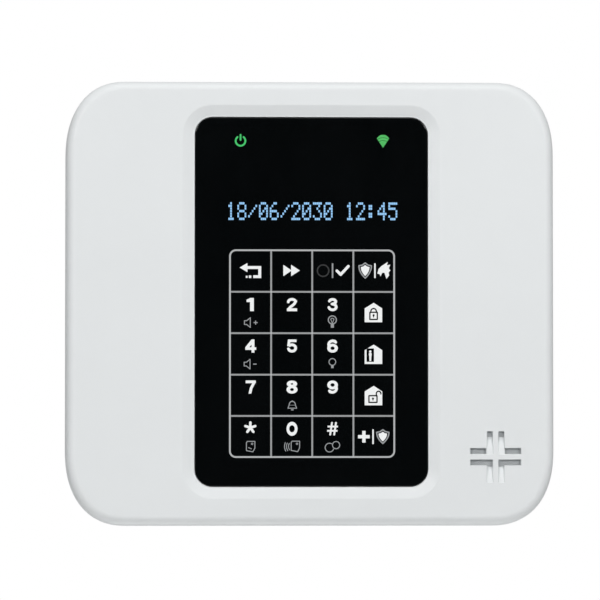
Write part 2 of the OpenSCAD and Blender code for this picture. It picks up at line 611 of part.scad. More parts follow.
// ------------------------------------------------------------------- assembly
rear_housing();
hinge_pins();
cover_lock_screws();
main_board();
main_board_chips();
board_capacitors();
main_board_screws();
radio_module();
cellular_module();
antenna();
sim_socket();
sim_lid();
sim_card();
network_jack();
ribbon_socket();
ribbon_cable();
cover_tamper_switch();
tamper_lever();
tamper_lever_pin();
wall_tamper_switch();
wall_tamper_plunger();
wall_tamper_spring();
battery_pack();
battery_strap();
battery_strap_screws();
battery_plug();
battery_lead();
supply_board();
supply_board_screws();
supply_transformer();
supply_capacitor();
power_terminal_block();
terminal_screws();
supply_lead();
front_housing();
touch_glass();
glass_adhesive();
touch_sensor();
keypad_light_guide();
key_backlight_leds();
keypad_board();
keypad_board_screws();
keypad_chips();
keypad_ribbon_socket();
display_glass();
display_frame();
indicator_light_guides();
tag_reader_coil();
speaker_mesh();
speaker_gasket();
speaker_frame();
speaker_cone();
speaker_magnet();
speaker_bracket();
speaker_screws();
speaker_lead();
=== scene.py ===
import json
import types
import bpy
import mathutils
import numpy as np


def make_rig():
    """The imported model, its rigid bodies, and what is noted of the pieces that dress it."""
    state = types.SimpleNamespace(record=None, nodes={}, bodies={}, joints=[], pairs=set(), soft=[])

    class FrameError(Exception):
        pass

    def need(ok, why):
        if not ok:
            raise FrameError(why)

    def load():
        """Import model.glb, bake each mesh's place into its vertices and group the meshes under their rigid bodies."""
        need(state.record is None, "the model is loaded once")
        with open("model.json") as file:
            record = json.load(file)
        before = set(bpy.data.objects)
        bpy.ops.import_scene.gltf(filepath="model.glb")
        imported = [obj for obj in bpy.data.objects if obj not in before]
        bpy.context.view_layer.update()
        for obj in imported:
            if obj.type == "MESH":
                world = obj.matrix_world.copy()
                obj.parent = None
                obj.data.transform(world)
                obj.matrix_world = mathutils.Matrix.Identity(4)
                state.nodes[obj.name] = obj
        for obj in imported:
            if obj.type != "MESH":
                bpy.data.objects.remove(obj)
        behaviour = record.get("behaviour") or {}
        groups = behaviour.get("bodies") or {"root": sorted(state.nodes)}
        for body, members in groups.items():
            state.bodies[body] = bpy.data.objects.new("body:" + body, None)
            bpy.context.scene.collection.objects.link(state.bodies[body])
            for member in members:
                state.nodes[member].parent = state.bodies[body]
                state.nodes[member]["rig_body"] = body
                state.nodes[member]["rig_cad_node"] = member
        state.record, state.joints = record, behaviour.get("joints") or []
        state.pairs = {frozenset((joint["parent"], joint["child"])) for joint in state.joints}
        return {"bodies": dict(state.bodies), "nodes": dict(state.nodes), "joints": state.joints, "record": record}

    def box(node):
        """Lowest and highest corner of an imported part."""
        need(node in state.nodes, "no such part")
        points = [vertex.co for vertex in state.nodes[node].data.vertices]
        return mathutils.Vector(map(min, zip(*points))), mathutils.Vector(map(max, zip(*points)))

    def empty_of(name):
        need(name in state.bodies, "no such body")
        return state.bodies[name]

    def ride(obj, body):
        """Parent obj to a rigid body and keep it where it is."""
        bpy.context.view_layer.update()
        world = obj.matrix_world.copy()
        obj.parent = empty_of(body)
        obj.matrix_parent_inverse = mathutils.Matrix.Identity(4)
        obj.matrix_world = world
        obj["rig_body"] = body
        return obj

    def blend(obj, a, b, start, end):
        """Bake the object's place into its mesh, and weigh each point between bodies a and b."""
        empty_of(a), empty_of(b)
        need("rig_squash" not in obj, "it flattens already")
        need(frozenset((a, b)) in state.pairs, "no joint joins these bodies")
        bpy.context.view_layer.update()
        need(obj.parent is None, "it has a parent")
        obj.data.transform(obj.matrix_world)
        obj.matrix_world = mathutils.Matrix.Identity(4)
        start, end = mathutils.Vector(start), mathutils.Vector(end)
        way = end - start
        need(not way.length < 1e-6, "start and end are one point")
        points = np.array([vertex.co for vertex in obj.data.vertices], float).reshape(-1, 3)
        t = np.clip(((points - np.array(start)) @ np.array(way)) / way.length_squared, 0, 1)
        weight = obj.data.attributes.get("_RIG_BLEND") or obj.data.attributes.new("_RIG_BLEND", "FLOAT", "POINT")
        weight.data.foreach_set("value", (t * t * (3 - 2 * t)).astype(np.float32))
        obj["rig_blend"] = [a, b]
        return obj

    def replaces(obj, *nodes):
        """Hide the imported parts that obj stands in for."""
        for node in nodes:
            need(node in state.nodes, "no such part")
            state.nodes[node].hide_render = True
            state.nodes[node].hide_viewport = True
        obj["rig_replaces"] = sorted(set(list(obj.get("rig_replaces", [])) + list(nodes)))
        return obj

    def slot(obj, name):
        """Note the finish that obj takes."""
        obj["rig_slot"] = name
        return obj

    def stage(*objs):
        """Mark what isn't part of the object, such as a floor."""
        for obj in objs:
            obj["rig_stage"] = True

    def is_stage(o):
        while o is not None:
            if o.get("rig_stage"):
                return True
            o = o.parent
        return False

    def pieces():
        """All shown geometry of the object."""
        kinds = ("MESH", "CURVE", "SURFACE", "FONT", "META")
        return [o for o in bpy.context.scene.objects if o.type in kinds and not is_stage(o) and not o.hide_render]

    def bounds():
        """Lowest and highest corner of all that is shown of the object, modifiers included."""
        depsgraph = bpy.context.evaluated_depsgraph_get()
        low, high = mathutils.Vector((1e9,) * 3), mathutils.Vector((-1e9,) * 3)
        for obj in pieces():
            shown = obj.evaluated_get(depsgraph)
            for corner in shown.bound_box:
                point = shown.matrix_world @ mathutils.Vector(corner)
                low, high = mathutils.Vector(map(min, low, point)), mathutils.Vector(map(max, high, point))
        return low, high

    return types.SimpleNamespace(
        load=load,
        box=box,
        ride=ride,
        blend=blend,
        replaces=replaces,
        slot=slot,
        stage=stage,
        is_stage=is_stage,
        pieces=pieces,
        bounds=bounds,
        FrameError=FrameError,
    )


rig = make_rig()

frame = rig.load()
cad_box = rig.bounds()

import json
import math
import random

import bmesh
import bpy
import numpy as np
from mathutils import Matrix, Vector, geometry

MM = 0.001
scene = bpy.context.scene
coll = scene.collection

# --------------------------------------------------------------- dimensions, mm
PW, PH, PD = 198.0, 180.0, 55.0
YF = -PD
YR = -24.5
YG = YF + 1.6
YS = YG + 1.5
YL = YS + 0.3
YK = YF + 5.5
YB = YK + 1.6
GX, GZ, GW, GH, GR = 0.5, 0.5, 93.6, 148.4, 7.0
EDGE = 3.6
WT = 2.5
HW, HH = PW / 2, PH / 2
TT, TB = HH - 8, -HH + 3
TW, TH, TCZ = PW - 6, TT - TB, (TT + TB) / 2
HY, HZ = YR - 2.5, TT + 3
YM0, YM = -8.0, -9.6
SX, SZ, SR = 74.5, -61.8, 14.0
YSP = YF + WT + 1.5

# -------------------------------------------------------------------- materials


def tree(name):
    m = bpy.data.materials.new(name)
    m.use_nodes = True
    nt = m.node_tree
    nt.nodes.clear()
    out = nt.nodes.new("ShaderNodeOutputMaterial")
    b = nt.nodes.new("ShaderNodeBsdfPrincipled")
    nt.links.new(b.outputs["BSDF"], out.inputs["Surface"])
    tc = nt.nodes.new("ShaderNodeTexCoord")
    return m, nt, b, tc.outputs["Object"]


def node(nt, kind, **kw):
    n = nt.nodes.new(kind)
    for k, v in kw.items():
        if k in n.inputs:
            n.inputs[k].default_value = v
        else:
            setattr(n, k, v)
    return n


def link(nt, a, b):
    nt.links.new(a, b)


def scaled(nt, vec, s):
    n = nt.nodes.new("ShaderNodeMapping")
    n.inputs["Scale"].default_value = s
    nt.links.new(vec, n.inputs["Vector"])
    return n.outputs["Vector"]


def noise(nt, vec, scale, detail=3.0, rough=0.5):
    n = nt.nodes.new("ShaderNodeTexNoise")
    n.inputs["Scale"].default_value = scale
    n.inputs["Detail"].default_value = detail
    n.inputs["Roughness"].default_value = rough
    nt.links.new(vec, n.inputs["Vector"])
    return n.outputs["Fac"]


def voronoi(nt, vec, scale, feature="F1", distance="EUCLIDEAN", rand=1.0, out="Distance"):
    n = nt.nodes.new("ShaderNodeTexVoronoi")
    n.feature = feature
    if feature not in ("DISTANCE_TO_EDGE", "N_SPHERE_RADIUS"):
        n.distance = distance
    n.inputs["Scale"].default_value = scale
    n.inputs["Randomness"].default_value = rand
    nt.links.new(vec, n.inputs["Vector"])
    return n.outputs[out]


def ramp(nt, fac, stops, mode="LINEAR"):
    n = nt.nodes.new("ShaderNodeValToRGB")
    n.color_ramp.interpolation = mode
    e = n.color_ramp.elements
    while len(e) > 1:
        e.remove(e[-1])
    e[0].position, e[0].color = stops[0][0], rgba(stops[0][1])
    for p, c in stops[1:]:
        x = e.new(p)
        x.color = rgba(c)
    nt.links.new(fac, n.inputs["Fac"])
    return n.outputs["Color"]


def rgba(c):
    if isinstance(c, (int, float)):
        return (c, c, c, 1.0)
    return (c[0], c[1], c[2], 1.0)


def math_node(nt, op, a, b=None, clamp=False):
    n = nt.nodes.new("ShaderNodeMath")
    n.operation = op
    n.use_clamp = clamp
    for i, v in enumerate((a, b)):
        if v is None:
            continue
        if isinstance(v, (int, float)):
            n.inputs[i].default_value = v
        else:
            nt.links.new(v, n.inputs[i])
    return n.outputs[0]


def mix(nt, fac, a, b):
    n = nt.nodes.new("ShaderNodeMix")
    n.data_type = "RGBA"
    for i, v in ((0, fac), (6, a), (7, b)):
        if hasattr(v, "links"):
            nt.links.new(v, n.inputs[i])
        elif i == 0:
            n.inputs[0].default_value = v
        else:
            n.inputs[i].default_value = rgba(v)
    return n.outputs[2]


def bump(nt, bsdf, height, dist, strength=1.0, below=None):
    n = nt.nodes.new("ShaderNodeBump")
    n.inputs["Strength"].default_value = strength
    n.inputs["Distance"].default_value = dist
    nt.links.new(height, n.inputs["Height"])
    if below is not None:
        nt.links.new(below, n.inputs["Normal"])
    nt.links.new(n.outputs["Normal"], bsdf.inputs["Normal"])
    return n.outputs["Normal"]


def lin(*c):
    """sRGB 0..255 to linear."""
    return tuple((v / 255 / 12.92) if v / 255 <= 0.04045 else ((v / 255 + 0.055) / 1.055) ** 2.4 for v in c)


def plastic(name, a, b, rough=(0.38, 0.5), grain=2600.0, depth=0.000012, blotch=18.0, specular=0.5, coat=0.0, sss=0.0, wear=None):
    """Moulded plastic: faint cloudy colour, spark-eroded grain, gloss that varies, edges polished by handling."""
    m, nt, s, obj = tree(name)
    cloud = noise(nt, obj, blotch, 4.0, 0.55)
    fine = noise(nt, obj, grain, 2.0, 0.6)
    big = noise(nt, obj, grain * 0.22, 2.0, 0.5)
    col = ramp(nt, cloud, [(0.3, a), (0.7, b)])
    if wear is not None:
        geo = nt.nodes.new("ShaderNodeNewGeometry")
        edge = ramp(nt, geo.outputs["Pointiness"], [(0.52, 0.0), (0.6, 1.0)])
        col = mix(nt, edge, col, wear)
    link(nt, col, s.inputs["Base Color"])
    r = ramp(nt, noise(nt, obj, blotch * 3, 3.0), [(0.3, rough[0]), (0.7, rough[1])])
    link(nt, r, s.inputs["Roughness"])
    h = math_node(nt, "ADD", math_node(nt, "MULTIPLY", fine, 0.65), math_node(nt, "MULTIPLY", big, 0.5))
    bump(nt, s, h, depth)
    s.inputs["Specular IOR Level"].default_value = specular
    if coat:
        s.inputs["Coat Weight"].default_value = coat
        s.inputs["Coat Roughness"].default_value = 0.12
    if sss:
        s.inputs["Subsurface Weight"].default_value = sss
        s.inputs["Subsurface Radius"].default_value = (0.0016, 0.0014, 0.0012)
        s.inputs["Subsurface Scale"].default_value = 0.4
    return m


def metal(name, a, b, rough=(0.22, 0.42), stretch=(1, 1, 30), scale=260.0, depth=0.000006):
    """Plated or brushed metal: streaked gloss, faint stain, fine scratches."""
    m, nt, s, obj = tree(name)
    streak = noise(nt, scaled(nt, obj, stretch), scale, 4.0, 0.65)
    stain = noise(nt, obj, 160.0, 4.0, 0.6)
    link(nt, ramp(nt, stain, [(0.3, a), (0.7, b)]), s.inputs["Base Color"])
    link(nt, ramp(nt, streak, [(0.3, rough[0]), (0.72, rough[1])]), s.inputs["Roughness"])
    bump(nt, s, streak, depth)
    s.inputs["Metallic"].default_value = 1.0
    return m


def board(name, mask, copper, hole=0.9, dense=1.0):
    """Circuit board: solder mask over runs of tracks, a scatter of plated holes, and bare laminate on its edges."""
    m, nt, s, obj = tree(name)
    sep = nt.nodes.new("ShaderNodeSeparateXYZ")
    link(nt, obj, sep.inputs[0])
    flat = nt.nodes.new("ShaderNodeCombineXYZ")
    link(nt, sep.outputs["X"], flat.inputs["X"])
    link(nt, sep.outputs["Z"], flat.inputs["Y"])
    v = flat.outputs[0]
    cell = voronoi(nt, v, 95.0 * dense, distance="CHEBYCHEV", out="Color")
    csep = nt.nodes.new("ShaderNodeSeparateColor")
    link(nt, cell, csep.inputs[0])
    across = math_node(nt, "GREATER_THAN", csep.outputs[0], 0.5)
    run_x = math_node(nt, "PINGPONG", math_node(nt, "MULTIPLY", sep.outputs["X"], 900.0 * dense), 0.5)
    run_z = math_node(nt, "PINGPONG", math_node(nt, "MULTIPLY", sep.outputs["Z"], 900.0 * dense), 0.5)
    pick = nt.nodes.new("ShaderNodeMix")
    link(nt, across, pick.inputs[0])
    link(nt, run_x, pick.inputs[2])
    link(nt, run_z, pick.inputs[3])
    track = math_node(nt, "GREATER_THAN", pick.outputs[0], 0.27)
    there = math_node(nt, "GREATER_THAN", csep.outputs[1], 0.36)
    track = math_node(nt, "MULTIPLY", track, there)
    dots = voronoi(nt, v, 260.0 * dense, rand=0.75)
    via = math_node(nt, "LESS_THAN", dots, 0.17)
    pin = math_node(nt, "LESS_THAN", dots, 0.08)
    cloud = noise(nt, obj, 60.0, 3.0)
    base = mix(nt, cloud, mask, tuple(x * 1.25 for x in mask))
    col = mix(nt, track, base, copper)
    col = mix(nt, via, col, lin(176, 172, 150))
    col = mix(nt, pin, col, (0.004, 0.004, 0.004))
    own = nt.nodes.new("ShaderNodeTexCoord")
    nsep = nt.nodes.new("ShaderNodeSeparateXYZ")
    link(nt, own.outputs["Normal"], nsep.inputs[0])
    face = math_node(nt, "GREATER_THAN", math_node(nt, "ABSOLUTE", nsep.outputs["Y"]), 0.6)
    weave = noise(nt, scaled(nt, obj, (1, 8, 1)), 900.0, 2.0)
    lam = ramp(nt, weave, [(0.35, lin(150, 140, 88)), (0.65, lin(182, 172, 116))])
    col = mix(nt, face, lam, col)
    link(nt, col, s.inputs["Base Color"])
    r = math_node(nt, "ADD", math_node(nt, "MULTIPLY", cloud, 0.15), 0.22)
    link(nt, r, s.inputs["Roughness"])
    h = math_node(nt, "ADD", math_node(nt, "MULTIPLY", track, 0.6), math_node(nt, "MULTIPLY", via, 0.7))
    bump(nt, s, h, 0.00006, 0.7)
    met = math_node(nt, "MULTIPLY", math_node(nt, "MULTIPLY", via, face), 0.9)
    link(nt, met, s.inputs["Metallic"])
    return m


def lit(name, colour, glow, speck=0.08):
    """Printed legend lit from behind: white ink with a slight mottle, glowing evenly."""
    m, nt, s, obj = tree(name)
    n = noise(nt, obj, 1500.0, 2.0)
    c = ramp(nt, n, [(0.3, tuple(x * (1 - speck) for x in colour)), (0.7, colour)])
    link(nt, ramp(nt, n, [(0.3, 0.012), (0.7, 0.02)]), s.inputs["Base Color"])
    link(nt, c, s.inputs["Emission Color"])
    s.inputs["Emission Strength"].default_value = glow
    link(nt, ramp(nt, n, [(0.2, 0.35), (0.8, 0.5)]), s.inputs["Roughness"])
    bump(nt, s, n, 0.000004)
    s.inputs["Specular IOR Level"].default_value = 0.2
    return m


M = {}
M["white"] = plastic("white_abs", lin(226, 229, 230), lin(229, 232, 233), (0.42, 0.52), 2600.0, 0.00001, 9.0, 0.45, sss=0.0)
M["rear"] = plastic("rear_abs", lin(214, 217, 218), lin(219, 222, 223), (0.5, 0.62), 2200.0, 0.000018, 12.0, 0.4)
M["ivory"] = plastic("ivory_nylon", lin(214, 206, 180), lin(224, 218, 194), (0.35, 0.5), 3000.0, 0.000008, 80.0)
M["black"] = plastic("black_nylon", lin(20, 20, 22), lin(32, 32, 34), (0.42, 0.6), 2600.0, 0.00001, 120.0, wear=lin(62, 62, 64))
M["red"] = plastic("red_plastic", lin(182, 34, 22), lin(200, 46, 30), (0.35, 0.5), 2600.0, 0.000008, 140.0)
M["wire"] = plastic("red_wire_sleeve", lin(170, 22, 18), lin(190, 34, 26), (0.3, 0.42), 3600.0, 0.00001, 300.0)
M["green"] = plastic("green_terminal", lin(26, 122, 58), lin(36, 140, 70), (0.35, 0.5), 2600.0, 0.000008, 120.0)
M["chip"] = plastic("chip_epoxy", lin(26, 26, 28), lin(38, 38, 40), (0.55, 0.7), 5200.0, 0.00001, 200.0)
M["film"] = plastic("clear_film", lin(172, 176, 168), lin(192, 196, 188), (0.12, 0.25), 1200.0, 0.000004, 40.0, coat=0.5)
M["guide"] = plastic("light_guide", lin(206, 212, 216), lin(226, 230, 234), (0.1, 0.2), 1500.0, 0.000004, 60.0, coat=0.6, sss=0.3)
M["lamp"] = plastic("lamp_phosphor", lin(236, 214, 120), lin(244, 228, 150), (0.2, 0.35), 2600.0, 0.000008, 400.0, coat=0.4)
M["steel"] = metal("zinc_steel", lin(190, 192, 194), lin(208, 208, 208), (0.25, 0.45), (1, 1, 24))
M["tin"] = metal("tinned_can", lin(196, 198, 200), lin(214, 215, 216), (0.3, 0.5), (12, 1, 1), 420.0)
M["screw"] = metal("plated_screw", lin(176, 178, 182), lin(200, 200, 202), (0.2, 0.4), (1, 1, 1), 900.0, 0.00001)
M["gold"] = metal("gold_plate", lin(206, 176, 104), lin(222, 192, 118), (0.22, 0.4), (1, 20, 1), 300.0)
M["ferrite"] = plastic("ferrite", lin(44, 44, 48), lin(66, 66, 70), (0.5, 0.7), 2400.0, 0.00003, 240.0, wear=lin(110, 110, 114))
M["pcb"] = board("green_board", lin(14, 84, 44), lin(30, 112, 60))
M["pcb2"] = board("brown_board", lin(120, 92, 44), lin(148, 112, 56), dense=0.55)
M["pcb3"] = board("keypad_mask", lin(16, 78, 52), lin(30, 104, 70), dense=0.8)
M["cap"] = plastic("capacitor_sleeve", lin(24, 26, 52), lin(34, 36, 70), (0.25, 0.4), 1800.0, 0.000006, 160.0, coat=0.3)
M["cell"] = plastic("battery_sleeve", lin(34, 78, 142), lin(44, 92, 160), (0.2, 0.34), 420.0, 0.00005, 60.0, coat=0.4)
M["tape"] = plastic("transformer_tape", lin(206, 178, 58), lin(220, 194, 78), (0.25, 0.4), 700.0, 0.00003, 120.0, coat=0.2)
M["foam"] = plastic("foam", lin(30, 30, 31), lin(52, 52, 54), (0.85, 0.98), 1600.0, 0.00012, 300.0, 0.1)
M["paper"] = plastic("cone_paper", lin(28, 27, 26), lin(44, 42, 40), (0.75, 0.9), 1400.0, 0.00004, 200.0, 0.2)
M["cloth"] = plastic("sounder_mesh", lin(214, 217, 219), lin(226, 228, 230), (0.6, 0.75), 2400.0, 0.00001, 60.0)

# coil of enamelled wire: fine turns seen as concentric threads
m, nt, s, obj = tree("coil_copper")
turns = noise(nt, scaled(nt, obj, (1, 1, 1)), 700.0, 2.0)
link(nt, ramp(nt, turns, [(0.3, lin(150, 82, 40)), (0.7, lin(196, 116, 62))]), s.inputs["Base Color"])
link(nt, ramp(nt, turns, [(0.3, 0.25), (0.7, 0.4)]), s.inputs["Roughness"])
bump(nt, s, turns, 0.00004)
s.inputs["Metallic"].default_value = 0.85
M["copper"] = m

# woven cloth behind the sound slots, its colour darkened well below the light sounder mesh above as painted shade for
# the shadow inside the slots
m, nt, s, obj = tree("woven_mesh")
sep = nt.nodes.new("ShaderNodeSeparateXYZ")
link(nt, obj, sep.inputs[0])
wx = math_node(nt, "SINE", math_node(nt, "MULTIPLY", sep.outputs["X"], 9000.0))
wz = math_node(nt, "SINE", math_node(nt, "MULTIPLY", sep.outputs["Z"], 9000.0))
weave = math_node(nt, "MULTIPLY", wx, wz)
half = math_node(nt, "ADD", math_node(nt, "MULTIPLY", weave, 0.5), 0.5)
# painted shade: these cloth tones are darker than the mesh's own colour, standing in for shadow in the slots
link(nt, ramp(nt, half, [(0.1, lin(160, 163, 165)), (0.6, lin(194, 197, 199))]), s.inputs["Base Color"])
link(nt, ramp(nt, half, [(0.1, 0.7), (0.8, 0.55)]), s.inputs["Roughness"])
bump(nt, s, half, 0.00008)
M["cloth"] = m

# touch window: black glass with a very faint haze that varies its gloss
m, nt, s, obj = tree("black_window")
smear = noise(nt, scaled(nt, obj, (1, 1, 0.45)), 42.0, 5.0, 0.6)
speck = noise(nt, obj, 1400.0, 2.0)
link(nt, ramp(nt, smear, [(0.3, lin(5, 7, 8)), (0.75, lin(8, 10, 11))]), s.inputs["Base Color"])
link(nt, ramp(nt, smear, [(0.35, 0.045), (0.8, 0.13)]), s.inputs["Roughness"])
bump(nt, s, speck, 0.0000006)
s.inputs["IOR"].default_value = 1.48
M["glass"] = m

M["legend"] = lit("legend_white", lin(240, 242, 242), 1.0)
M["legend_dim"] = lit("legend_grey", lin(150, 153, 155), 1.0)
M["line"] = lit("grid_line", lin(152, 154, 155), 1.0)
M["dots"] = lit("display_blue", lin(150, 205, 252), 1.0)
M["lamp_green"] = lit("lamp_green", lin(74, 190, 94), 1.0, 0.2)
M["lamp_power"] = lit("lamp_power", lin(58, 200, 104), 1.0, 0.2)
M["frame_line"] = lit("grid_frame", lin(176, 178, 179), 1.0)
M["ring_dim"] = lit("legend_faint", lin(34, 36, 37), 1.0)
M["ink"] = lit("legend_black", lin(10, 11, 12), 0.0)

# ------------------------------------------------------------------- mesh tools


def obj_from(name, bm, mat, body, angle=32, smooth=True, weighted=False, slot=None):
    """bmesh in mm to a finished piece in metres, riding on a body."""
    bmesh.ops.recalc_face_normals(bm, faces=bm.faces)
    me = bpy.data.meshes.new(name)
    bm.to_mesh(me)
    bm.free()
    me.transform(Matrix.Scale(MM, 4))
    return dress(name, me, mat, body, angle, smooth, weighted, slot)


def dress(name, me, mat, body, angle=32, smooth=True, weighted=False, slot=None):
    if "custom_normal" in me.attributes:
        me.attributes.remove(me.attributes["custom_normal"])
    ob = bpy.data.objects.new(name, me)
    coll.objects.link(ob)
    me.materials.clear()
    me.materials.append(mat)
    if smooth:
        me.shade_smooth()
        me.set_sharp_from_angle(angle=math.radians(angle))
    if weighted:
        w = ob.modifiers.new("normals", "WEIGHTED_NORMAL")
        w.keep_sharp = True
        w.weight = 100
    if body:
        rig.ride(ob, body)
    if slot:
        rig.slot(ob, slot)
    return ob


def ring(w, h, a, b, e=2.3, n=28, cx=0.0, cz=0.0):
    p = []
    for q in range(4):
        for i in range(n + 1):
            t = math.pi / 2 * i / n
            c = max(math.cos(t), 0.0) ** (2 / e)
            s = max(math.sin(t), 0.0) ** (2 / e)
            if q == 0:
                p.append((cx + w / 2 - a + a * c, cz + h / 2 - b + b * s))
            elif q == 1:
                p.append((cx - w / 2 + a - a * s, cz + h / 2 - b + b * c))
            elif q == 2:
                p.append((cx - w / 2 + a - a * c, cz - h / 2 + b - b * s))
            else:
                p.append((cx + w / 2 - a + a * s, cz - h / 2 + b - b * c))
    return p


def cover_ring(d, n=28):
    return ring(PW - 2 * d, PH - 2 * d, 24.8 - 0.8 * d, 31 - 0.8 * d, n=n)


def tray_ring(d, n=24):
    return ring(TW - 2 * d, TH - 2 * d, 22.4 - 0.8 * d, 28.6 - 0.8 * d, n=n, cz=TCZ)


def glass_ring(k, n=10):
    r = GR + k
    return ring(GW + 2 * k, GH + 2 * k, r, r, 2.0, n, GX, GZ)


def add_loft(bm, rs):
    """Closed skin through outlines given as (y, points)."""
    rows = [[bm.verts.new((p[0], y, p[1])) for p in pts] for y, pts in rs]
    m = len(rows[0])
    for a, b in zip(rows, rows[1:]):
        for i in range(m):
            j = (i + 1) % m
            bm.faces.new((a[i], a[j], b[j], b[i]))
    bm.faces.new(rows[0][::-1])
    bm.faces.new(rows[-1])
    return bm


def loft(rs):
    return add_loft(bmesh.new(), rs)


def add_box(bm, x0, x1, y0, y1, z0, z1, bev=0.0, seg=2):
    made = bmesh.new()
    v = [made.verts.new((x, y, z)) for x in (x0, x1) for y in (y0, y1) for z in (z0, z1)]
    for f in ((0, 1, 3, 2), (4, 6, 7, 5), (0, 4, 5, 1), (2, 3, 7, 6), (0, 2, 6, 4), (1, 5, 7, 3)):
        made.faces.new([v[i] for i in f])
    bmesh.ops.recalc_face_normals(made, faces=made.faces)
    if bev:
        bmesh.ops.bevel(made, geom=made.edges[:], offset=bev, offset_type="OFFSET", segments=seg, profile=0.5, affect="EDGES", clamp_overlap=True)
    me = bpy.data.meshes.new("tmp")
    made.to_mesh(me)
    made.free()
    bm.from_mesh(me)
    bpy.data.meshes.remove(me)
    return bm


def circle_pts(r, n=48, cx=0.0, cz=0.0):
    return [(cx + r * math.cos(2 * math.pi * i / n), cz + r * math.sin(2 * math.pi * i / n)) for i in range(n)]


def add_lathe_y(bm, x, z, prof, n=48):
    """Solid of revolution about a line along Y; prof is [(radius, y)] along its outside, ends closed."""
    rows = []
    for r, y in prof:
        if r < 1e-6:
            rows.append([bm.verts.new((x, y, z))])
        else:
            rows.append([bm.verts.new((x + r * math.cos(2 * math.pi * i / n), y, z + r * math.sin(2 * math.pi * i / n))) for i in range(n)])
    for a, b in zip(rows, rows[1:]):
        for i in range(n):
            j = (i + 1) % n
            q = []
            for v in (a[i % len(a)], a[j % len(a)], b[j % len(b)], b[i % len(b)]):
                if v not in q:
                    q.append(v)
            if len(q) > 2:
                bm.faces.new(q)
    if len(rows[0]) > 1:
        bm.faces.new(rows[0][::-1])
    if len(rows[-1]) > 1:
        bm.faces.new(rows[-1])
    return bm


def cyl(axis, r, a, b, lo, hi, n=48, ch=0.0):
    """Cylinder along an axis: 'x' at (y, z), 'y' at (x, z), 'z' at (x, y)."""
    bm = bmesh.new()
    prof = [(r, lo), (r, hi)] if not ch else [(r - ch, lo), (r, lo + ch), (r, hi - ch), (r - ch, hi)]
    rows = []
    for rr, t in prof:
        row = []
        for i in range(n):
            c, s = rr * math.cos(2 * math.pi * i / n), rr * math.sin(2 * math.pi * i / n)
            p = {"x": (t, a + c, b + s), "y": (a + c, t, b + s), "z": (a + c, b + s, t)}[axis]
            row.append(bm.verts.new(p))
        rows.append(row)
    for u, v in zip(rows, rows[1:]):
        for i in range(n):
            j = (i + 1) % n
            bm.faces.new((u[i], u[j], v[j], v[i]))
    bm.faces.new(rows[0][::-1])
    bm.faces.new(rows[-1])
    bmesh.ops.recalc_face_normals(bm, faces=bm.faces)
    return bm


def boxm(*a, **k):
    return add_box(bmesh.new(), *a, **k)


def slab(pts, y0, y1):
    return loft([(y1, pts), (y0, pts)])


def tmp_obj(bm):
    bmesh.ops.recalc_face_normals(bm, faces=bm.faces)
    me = bpy.data.meshes.new("part")
    bm.to_mesh(me)
    bm.free()
    ob = bpy.data.objects.new("part", me)
    coll.objects.link(ob)
    return ob


class Solid:
    """Boolean builder in millimetres."""

    def __init__(self, bm):
        self.ob = tmp_obj(bm)

    def _do(self, bm, op):
        other = tmp_obj(bm)
        md = self.ob.modifiers.new("b", "BOOLEAN")
        md.solver = "MANIFOLD"
        md.operation = op
        md.object = other
        dg = bpy.context.evaluated_depsgraph_get()
        me = bpy.data.meshes.new_from_object(self.ob.evaluated_get(dg))
        old = self.ob.data
        self.ob.modifiers.clear()
        if len(me.polygons) < 4:
            print("BOOLEAN LOST THE SOLID", op)
        self.ob.data = me
        bpy.data.meshes.remove(old)
        mo = other.data
        bpy.data.objects.remove(other)
        bpy.data.meshes.remove(mo)
        return self

    def add(self, *bms):
        for b in bms:
            self._do(b, "UNION")
        return self

    def cut(self, *bms):
        for b in bms:
            self._do(b, "DIFFERENCE")
        return self

    def cut_solid(self, other):
        bm = bmesh.new()
        bm.from_mesh(other.ob.data)
        bpy.data.objects.remove(other.ob)
        return self.cut(bm)

    def bm(self):
        b = bmesh.new()
        b.from_mesh(self.ob.data)
        bpy.data.objects.remove(self.ob)
        bmesh.ops.remove_doubles(b, verts=b.verts, dist=1e-4)
        bmesh.ops.dissolve_degenerate(b, edges=b.edges, dist=1e-4)
        return b


def report_open(name, me):
    n = {}
    for p in me.polygons:
        for k in p.edge_keys:
            n[k] = n.get(k, 0) + 1
    bad = sum(1 for v in n.values() if v != 2)
    if bad:
        print("OPEN", name, bad)
    return bad


# ---------------------------------------------------------------- front housing


def fillet(n=12):
    r = EDGE * 1.1
    return [(YF + r - r * math.sin(math.pi / 2 * i / n), 0.9 + EDGE * (1 - math.cos(math.pi / 2 * i / n))) for i in range(n + 1)]


rings = [(YR, cover_ring(0.35)), (YR - 0.12, cover_ring(0.1)), (YR - 0.4, cover_ring(0)), (YR - 6, cover_ring(0))]
for i in range(1, 6):
    t = i / 6
    rings.append((YR - 6 + (YF + EDGE * 1.1 - YR + 6) * t, cover_ring(0.9 * t * t * (1.6 - 0.6 * t))))
rings += [(y, cover_ring(d)) for y, d in fillet()]
front = Solid(loft(rings))
front.cut(loft([(YR + 1, cover_ring(WT)), (YR - 6, cover_ring(WT)), (YF + EDGE * 1.1 + 1, cover_ring(WT + 0.9)), (YF + WT + 0.5, cover_ring(WT + 2.4)), (YF + WT, cover_ring(WT + 3.4))]))
cw, chh = GW + 2 * 4.6 + 4, GH + 2 * 4.6 + 4
front.add(slab(ring(cw, chh, 3, 3, 2, 6, GX, GZ), YF + WT - 0.5, YL + 1.5))

